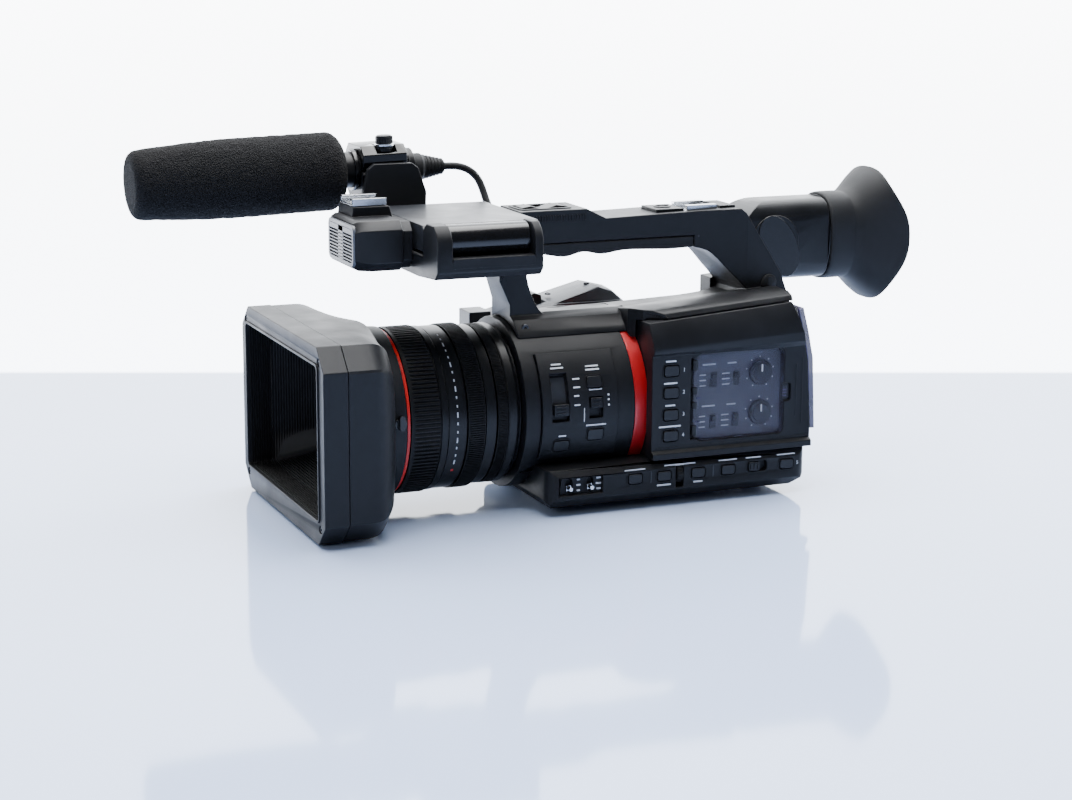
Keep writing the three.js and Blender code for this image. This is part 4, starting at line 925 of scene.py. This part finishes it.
def dip(shape):
    """Tilts a shape with the microphone, which points a little down at the front."""
    pivot = Matrix.Translation((0, MIC_PIVOT_Y, MIC_Z))
    turn = pivot @ Matrix.Rotation(MIC_TILT, 4, "X") @ pivot.inverted()
    bmesh.ops.transform(shape, verts=shape.verts, matrix=turn)


def build_windscreen():
    """Foam cover: a soft rounded cylinder whose surface is broken by open pores."""
    profile = [(0.0, -260.0)]
    for i in range(9):
        angle = math.pi / 2 * i / 8
        profile.append((FOAM_FRONT - 6 + 5.8 * math.sin(angle), -254.2 - 5.8 * math.cos(angle)))
    for i in range(1, 70):
        y = -254.2 + i / 70 * 110.0
        taper = min(1.0, (y + 254.2) / 60.0)
        swell = math.sin(math.pi / 2 * taper)
        profile.append((FOAM_FRONT - 0.2 + (FOAM_REAR - FOAM_FRONT) * swell, y))
    for i in range(13):
        angle = math.pi / 2 * i / 12
        round_off = FOAM_REAR - 0.2 - MIC_RIM
        profile.append((MIC_RIM + round_off * math.cos(angle), -144.2 + 9.4 * math.sin(angle)))
    profile.append((MIC_RIM, -143.0))
    profile.append((0.0, -143.0))
    shape = bmesh.new()
    add_turned(shape, "y", profile, MIC_X, MIC_Z, 150)
    axis_point = Vector((MIC_X, 0, MIC_Z))
    for vert in shape.verts:
        away = vert.co - axis_point
        away.y = 0
        if away.length < 11.5:
            continue
        pore = noise.noise(vert.co * 0.9) * 0.32 + noise.noise(vert.co * 0.18) * 0.3
        vert.co += away.normalized() * (pore - 0.35)
    dip(shape)
    foam = add_piece("foam_windscreen", shape, FOAM, "windscreen", sharp=180)
    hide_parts("windscreen")


def build_mic_details():
    shape = bmesh.new()
    add_rod(shape, "z", 4.6, 199.4, 208.2, KNOB_X, MIC_PIVOT_Y, 32)
    add_rod_ring(shape, "z", 24, 4.7, 0.45, 200.8, 207.9, KNOB_X, MIC_PIVOT_Y)
    add_turned(shape, "z", [(4.6, 207.8), (4.6, 208.3), (3.8, 208.7), (0.0, 208.7)], KNOB_X, MIC_PIVOT_Y, 32)
    dip(shape)
    knob = add_piece("clamp_knob_knurled", shape, SATIN, "mic_clamp_knob")
    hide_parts("mic_clamp_knob")
    shape = bmesh.new()
    add_turned(shape, "z", [(5.9, 202.6), (5.9, 203.5), (5.2, 203.9), (4.85, 203.9), (4.85, 202.6)],
               KNOB_X, MIC_PIVOT_Y, 32)
    dip(shape)
    add_piece("clamp_washer", shape, CHROME, "mic_clamp")
    shape = bmesh.new()
    for start, end, radius in ((-139.8, -137.2, 11.4), (-129.4, -126.8, 12.2), (-98.6, -95.8, 12.2)):
        add_tube(shape, "y", radius, 10.4, start, end, MIC_X, MIC_Z, 40)
    dip(shape)
    add_piece("mic_collars", shape, GLOSS, "microphone", edge=0.3)


CORD_D = 4.4
CORD_ROUTE = [
    (-26, -49.4, 148), (-26.3, -45.6, 148), (-28.8, -42.6, 148.1), (-33, -41.8, 149), (-38.6, -42.6, 151.4),
    (-44.6, -44, 155.8), (-50, -45.6, 161.4), (-54.6, -46.8, 167.6), (-57.8, -47.8, 173.6),
    (-60, -49.6, 179), (-61.6, -53, 183.4), (-62.6, -58, 186.3), (-63, -64, 187.6), (-63, -70.6, 187.8),
]


def through(points, per_span=3):
    """Points on a smooth curve through the given ones."""
    ends = [points[0] * 2 - points[1], *points, points[-1] * 2 - points[-2]]
    line = []
    for a, b, c, d in zip(ends, ends[1:], ends[2:], ends[3:]):
        for step in range(per_span):
            t = step / per_span
            line.append(0.5 * (2 * b + (c - a) * t + (2 * a - 5 * b + 4 * c - d) * t * t
                               + (3 * b - a - 3 * c + d) * t ** 3))
    line.append(points[-1])
    return line


def build_cord():
    """The microphone lead, from the socket under the handle's front to the plug on the microphone."""
    line = through([Vector(point) * MM for point in CORD_ROUTE])
    data = bpy.data.curves.new("microphone_lead", "CURVE")
    data.dimensions = "3D"
    data.bevel_depth = CORD_D / 2 * MM
    data.bevel_resolution = 5
    data.use_fill_caps = True
    spline = data.splines.new("POLY")
    spline.points.add(len(line) - 1)
    for point, place in zip(spline.points, line):
        point.co = (*place, 1)
    spline.use_smooth = True
    data.materials.append(SOFT_RUBBER)
    lead = bind("microphone_lead", data, "mic_cable")
    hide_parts("mic_cable")

    shape = bmesh.new()
    profile = [(0.0, -91.1), (8.4, -91.1), (8.4, -86.4), (7.9, -85.6)]
    for step in range(6):
        y = -84.8 + step * 2.3
        radius = 7.4 - step * 0.52
        profile += [(radius, y), (radius, y + 1.1), (radius - 1.1, y + 1.35), (radius - 1.1, y + 2.1)]
    profile += [(3.4, -71.0), (0.0, -71.0)]
    add_turned(shape, "y", profile, MIC_X, 187.8, 40)
    plug = add_piece("microphone_plug", shape, SOFT_RUBBER, "cable_plug", sharp=30)
    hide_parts("cable_plug")


# ---- viewfinder ----
PIVOT_Z = 144.0


def oval(y, half_width, half_height, flap=0.0, count=72):
    """A rounded outline about the tube's axis; flap draws its two sides back along +Y."""
    ring = []
    for i in range(count):
        angle = 2 * math.pi * i / count
        c, s = math.cos(angle), math.sin(angle)
        reach = flap * c ** 6 * (1.0 if c > 0 else 0.3)
        ring.append((
            half_width * math.copysign(abs(c) ** 0.8, c), y + reach,
            PIVOT_Z + half_height * math.copysign(abs(s) ** 0.8, s),
        ))
    return ring


def build_eyecup():
    """Flared rubber cup: a sleeve on the tube, a fold, then the winged flare.

    A station is its place along the tube, half width, half height and flap.
    """
    outside = [
        (148.0, 20.2, 25.9, 0), (148.6, 20.8, 26.5, 0), (163.0, 20.8, 26.5, 0),
        (164.2, 20.4, 26.1, 0), (165.4, 20.9, 26.7, 0), (168.0, 22.0, 28.0, 0.6),
        (171.0, 24.2, 30.4, 1.8), (174.5, 27.0, 33.5, 3.8), (178.5, 30.0, 37.2, 7.0),
        (182.0, 32.4, 39.6, 9.8), (183.4, 33.5, 40.8, 11.0), (184.0, 33.2, 40.5, 11.0),
    ]
    inside = [
        (183.6, 32.4, 39.7, 11.0), (180.0, 29.2, 36.4, 8.0), (174.6, 24.0, 30.0, 3.6),
        (168.0, 18.0, 23.0, 0), (160.5, 17.3, 23.3, 0), (148.0, 17.3, 23.3, 0),
    ]
    rings = [oval(*station) for station in outside + inside]
    shape = bmesh.new()
    bridge(shape, [*rings, rings[0]], closed=False)
    cup = add_piece("eyecup_flare", shape, SOFT_RUBBER, "eyecup", sharp=60)
    smooth = cup.modifiers.new("smooth", "SUBSURF")
    smooth.levels = 1
    smooth.render_levels = 1
    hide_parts("eyecup")


def build_viewfinder_details():
    shape = bmesh.new()
    dome = ((152.5, 11.9, 14.9), (154.5, 10.6, 13.4), (155.2, 6.0, 8.0))
    bridge(shape, [oval(*station) for station in dome])
    add_piece("eyepiece_lens", shape, GLASS, "evf_tube", sharp=60)
    shape = bmesh.new()
    tilt = math.radians(27)
    for side in (1, -1):
        outline = []
        for a, b in circle(1.0, 48):
            u, v = a * 12.0, b * 20.0
            outline.append((112.5 + u * math.cos(tilt) - v * math.sin(tilt),
                            141.5 + u * math.sin(tilt) + v * math.cos(tilt)))
        add_prism(shape, "x", outline, side * 18.4, side * 19.5)
    add_piece("hinge_cheeks", shape, GLOSS, "evf_tube", edge=0.4, sharp=50)
    shape = bmesh.new()
    outer = oval(147.2, 19.0, 24.8)
    inner = oval(147.2, 16.9, 22.9)
    back = [(x, y + 1.2, z) for x, y, z in outer]
    deep = [(x, y + 1.2, z) for x, y, z in inner]
    bridge(shape, [outer, back, deep, inner, outer], closed=False)
    add_piece("tube_collar", shape, GLOSS, "evf_tube", edge=0.15)


# ---- grip ----
def build_hand_strap():
    """A padded strap of woven webbing, with a row of stitching along each edge."""
    outside = [(-84.6, -44), (-102, -36), (-115, -14), (-119, 12), (-115, 40), (-104, 62), (-87, 74)]
    line = through([Vector((x, y, 0)) for x, y in outside], 8)
    normals = []
    for before, after in zip([line[0], *line], [*line[1:], line[-1]]):
        along = (after - before).normalized()
        normals.append(Vector((-along.y, along.x, 0)))
    inwards = [-normal if (place + normal).x < place.x else normal for place, normal in zip(line, normals)]
    thick = 5.2
    # depth from the outer face, height
    section = [
        (0.0, 48.5), (0.0, 89.5), (1.4, 91.3), (thick - 1.2, 91.3), (thick, 88.0),
        (thick + 0.3, 69), (thick, 50.0), (thick - 1.2, 46.7), (1.4, 46.7),
    ]
    rings = []
    for place, inward in zip(line, inwards):
        edge = place + inward * 0.5
        rings.append([tuple(edge + inward * depth + Vector((0, 0, z))) for depth, z in section])
    shape = bmesh.new()
    bridge(shape, rings)
    strap = add_piece("strap_pad", shape, WEBBING, "hand_strap", sharp=50)
    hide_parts("hand_strap")
    stitches = bmesh.new()
    for place, inward in list(zip(line, inwards))[3:-3]:
        for z in (50.2, 88.0):
            centre = place + inward * 0.3 + Vector((0, 0, z))
            add_rod(stitches, "z", 0.35, centre.z - 0.9, centre.z + 0.9, centre.x, centre.y, 6)
    add_piece("strap_stitches", stitches, FADED, "hand_strap")


def build_grip_details():
    shape = bmesh.new()
    for x, y, z in ((-60.0, 22.0, 112.2), (-60.0, -4.0, 107.2)):
        add_screw(shape, "z", x, y, z, 1.9, 1)
    add_piece("grip_screws", shape, SCREW, "grip_body")
    shape = bmesh.new()
    add_tube(shape, "y", 9.4, 7.3, 75.0, 80.6, -66, 78, 48)
    add_piece("record_collar", shape, SATIN, "grip_body", edge=0.4)


# ---- rear details ----
def build_rear_details():
    add_boxes("battery_face", SATIN, "battery", [(-19.0, 15.0, 114.6, 115.9, 37.0, 89.0)], edge=0.6)
    add_boxes("battery_ridges", SATIN, "battery",
              [(-9.0, 5.0, 115.6, 116.4, 82.0 + i * 1.2, 82.6 + i * 1.2) for i in range(5)], edge=0.15)
    covers = ((36.0, 45.0), (48.0, 57.0), (60.0, 69.0), (72.0, 84.0))
    add_boxes("port_covers", SOFT_RUBBER, "main_housing",
              [(-42.0, -26.0, 114.5, 116.2, *heights) for heights in covers], edge=0.8, segments=3)


# ---- floor and light ----
BACKDROP = Vector((-0.92, 0.39, 0.12)).normalized()


def table_surface():
    """Pale glossy table top, which ends in the white of the backdrop at its far edge."""
    material, tree, shader, coordinates = blank("table_top", 0.07, Specular_IOR_Level=0.45)
    shader.inputs["Base Color"].default_value = (0.50, 0.62, 0.90, 1)
    split = new_node(tree, "ShaderNodeSeparateXYZ")
    tree.links.new(coordinates, split.inputs["Vector"])
    edge = new_node(tree, "ShaderNodeMapRange", {
        "From Min": 0.325, "From Max": 0.335, "To Min": 0.0, "To Max": 5.0,
    })
    tree.links.new(split.outputs["Y"], edge.inputs["Value"])
    shader.inputs["Emission Color"].default_value = (0.97, 0.98, 1.0, 1)
    tree.links.new(edge.outputs["Result"], shader.inputs["Emission Strength"])
    return material


def build_stage():
    mesh = bpy.data.meshes.new("floor")
    reach = 14.0
    mesh.from_pydata([(-reach, -reach, 0), (reach, -reach, 0), (reach, reach, 0), (-reach, reach, 0)],
                     [], [(0, 1, 2, 3)])
    floor = bpy.data.objects.new("floor", mesh)
    floor.rotation_euler = (0, 0, math.radians(68.8))
    floor.location.z = -0.0002
    mesh.materials.append(table_surface())
    bpy.context.scene.collection.objects.link(floor)


def add_area_light(name, place, target, size, power, color=(1, 1, 1)):
    data = bpy.data.lights.new(name, "AREA")
    data.shape = "RECTANGLE"
    data.size, data.size_y = size
    data.energy = power
    data.color = color
    light = bpy.data.objects.new(name, data)
    light.location = place
    direction = Vector(target) - Vector(place)
    light.rotation_euler = direction.to_track_quat("-Z", "Y").to_euler()
    bpy.context.scene.collection.objects.link(light)


def build_world():
    """A white backdrop behind the object, and a much darker room on the camera's side."""
    world = bpy.data.worlds.new("studio")
    bpy.context.scene.world = world
    world.use_nodes = True
    tree = world.node_tree
    sky = tree.nodes["Background"]
    sky.inputs["Color"].default_value = (0.93, 0.96, 1.0, 1)
    around = new_node(tree, "ShaderNodeTexCoord").outputs["Generated"]
    facing = new_node(tree, "ShaderNodeVectorMath", operation="DOT_PRODUCT")
    facing.inputs[1].default_value = BACKDROP
    tree.links.new(around, facing.inputs[0])
    falloff = new_node(tree, "ShaderNodeMapRange", {
        "From Min": 0.1, "From Max": 0.85, "To Min": 0.12, "To Max": 6.5,
    })
    tree.links.new(facing.outputs["Value"], falloff.inputs["Value"])
    tree.links.new(falloff.outputs["Result"], sky.inputs["Strength"])


def build_lights():
    build_world()
    add_area_light("overhead", (-0.05, 0.0, 1.3), (0, -0.02, 0.1), (0.9, 1.3), 50)
    add_area_light("front_left", (0.9, -1.5, 0.9), (0, -0.1, 0.08), (0.6, 0.6), 6)
    add_area_light("rear_rim", (-0.5, 1.4, 1.0), (0, 0.05, 0.1), (1.0, 0.6), 16, (0.9, 0.95, 1.0))


add_camera()
build_cord()
soften_cad_nodes()
build_lens_rings()
build_front_lens()
build_lens_bands()
build_hood_shell()
build_hood_baffle()
build_hood_trim()
build_panel_marks()
build_panel_frames()
build_side_marks()
build_audio_deck()
build_cover_hinges()
build_card_bay()
build_strip_marks()
build_menu_dial_ribs()
build_handle_details()
build_jack_cap()
build_front_grille()
build_display_details()
build_windscreen()
build_mic_details()
build_eyecup()
build_viewfinder_details()
build_hand_strap()
build_grip_details()
build_rear_details()
build_stage()
build_lights()
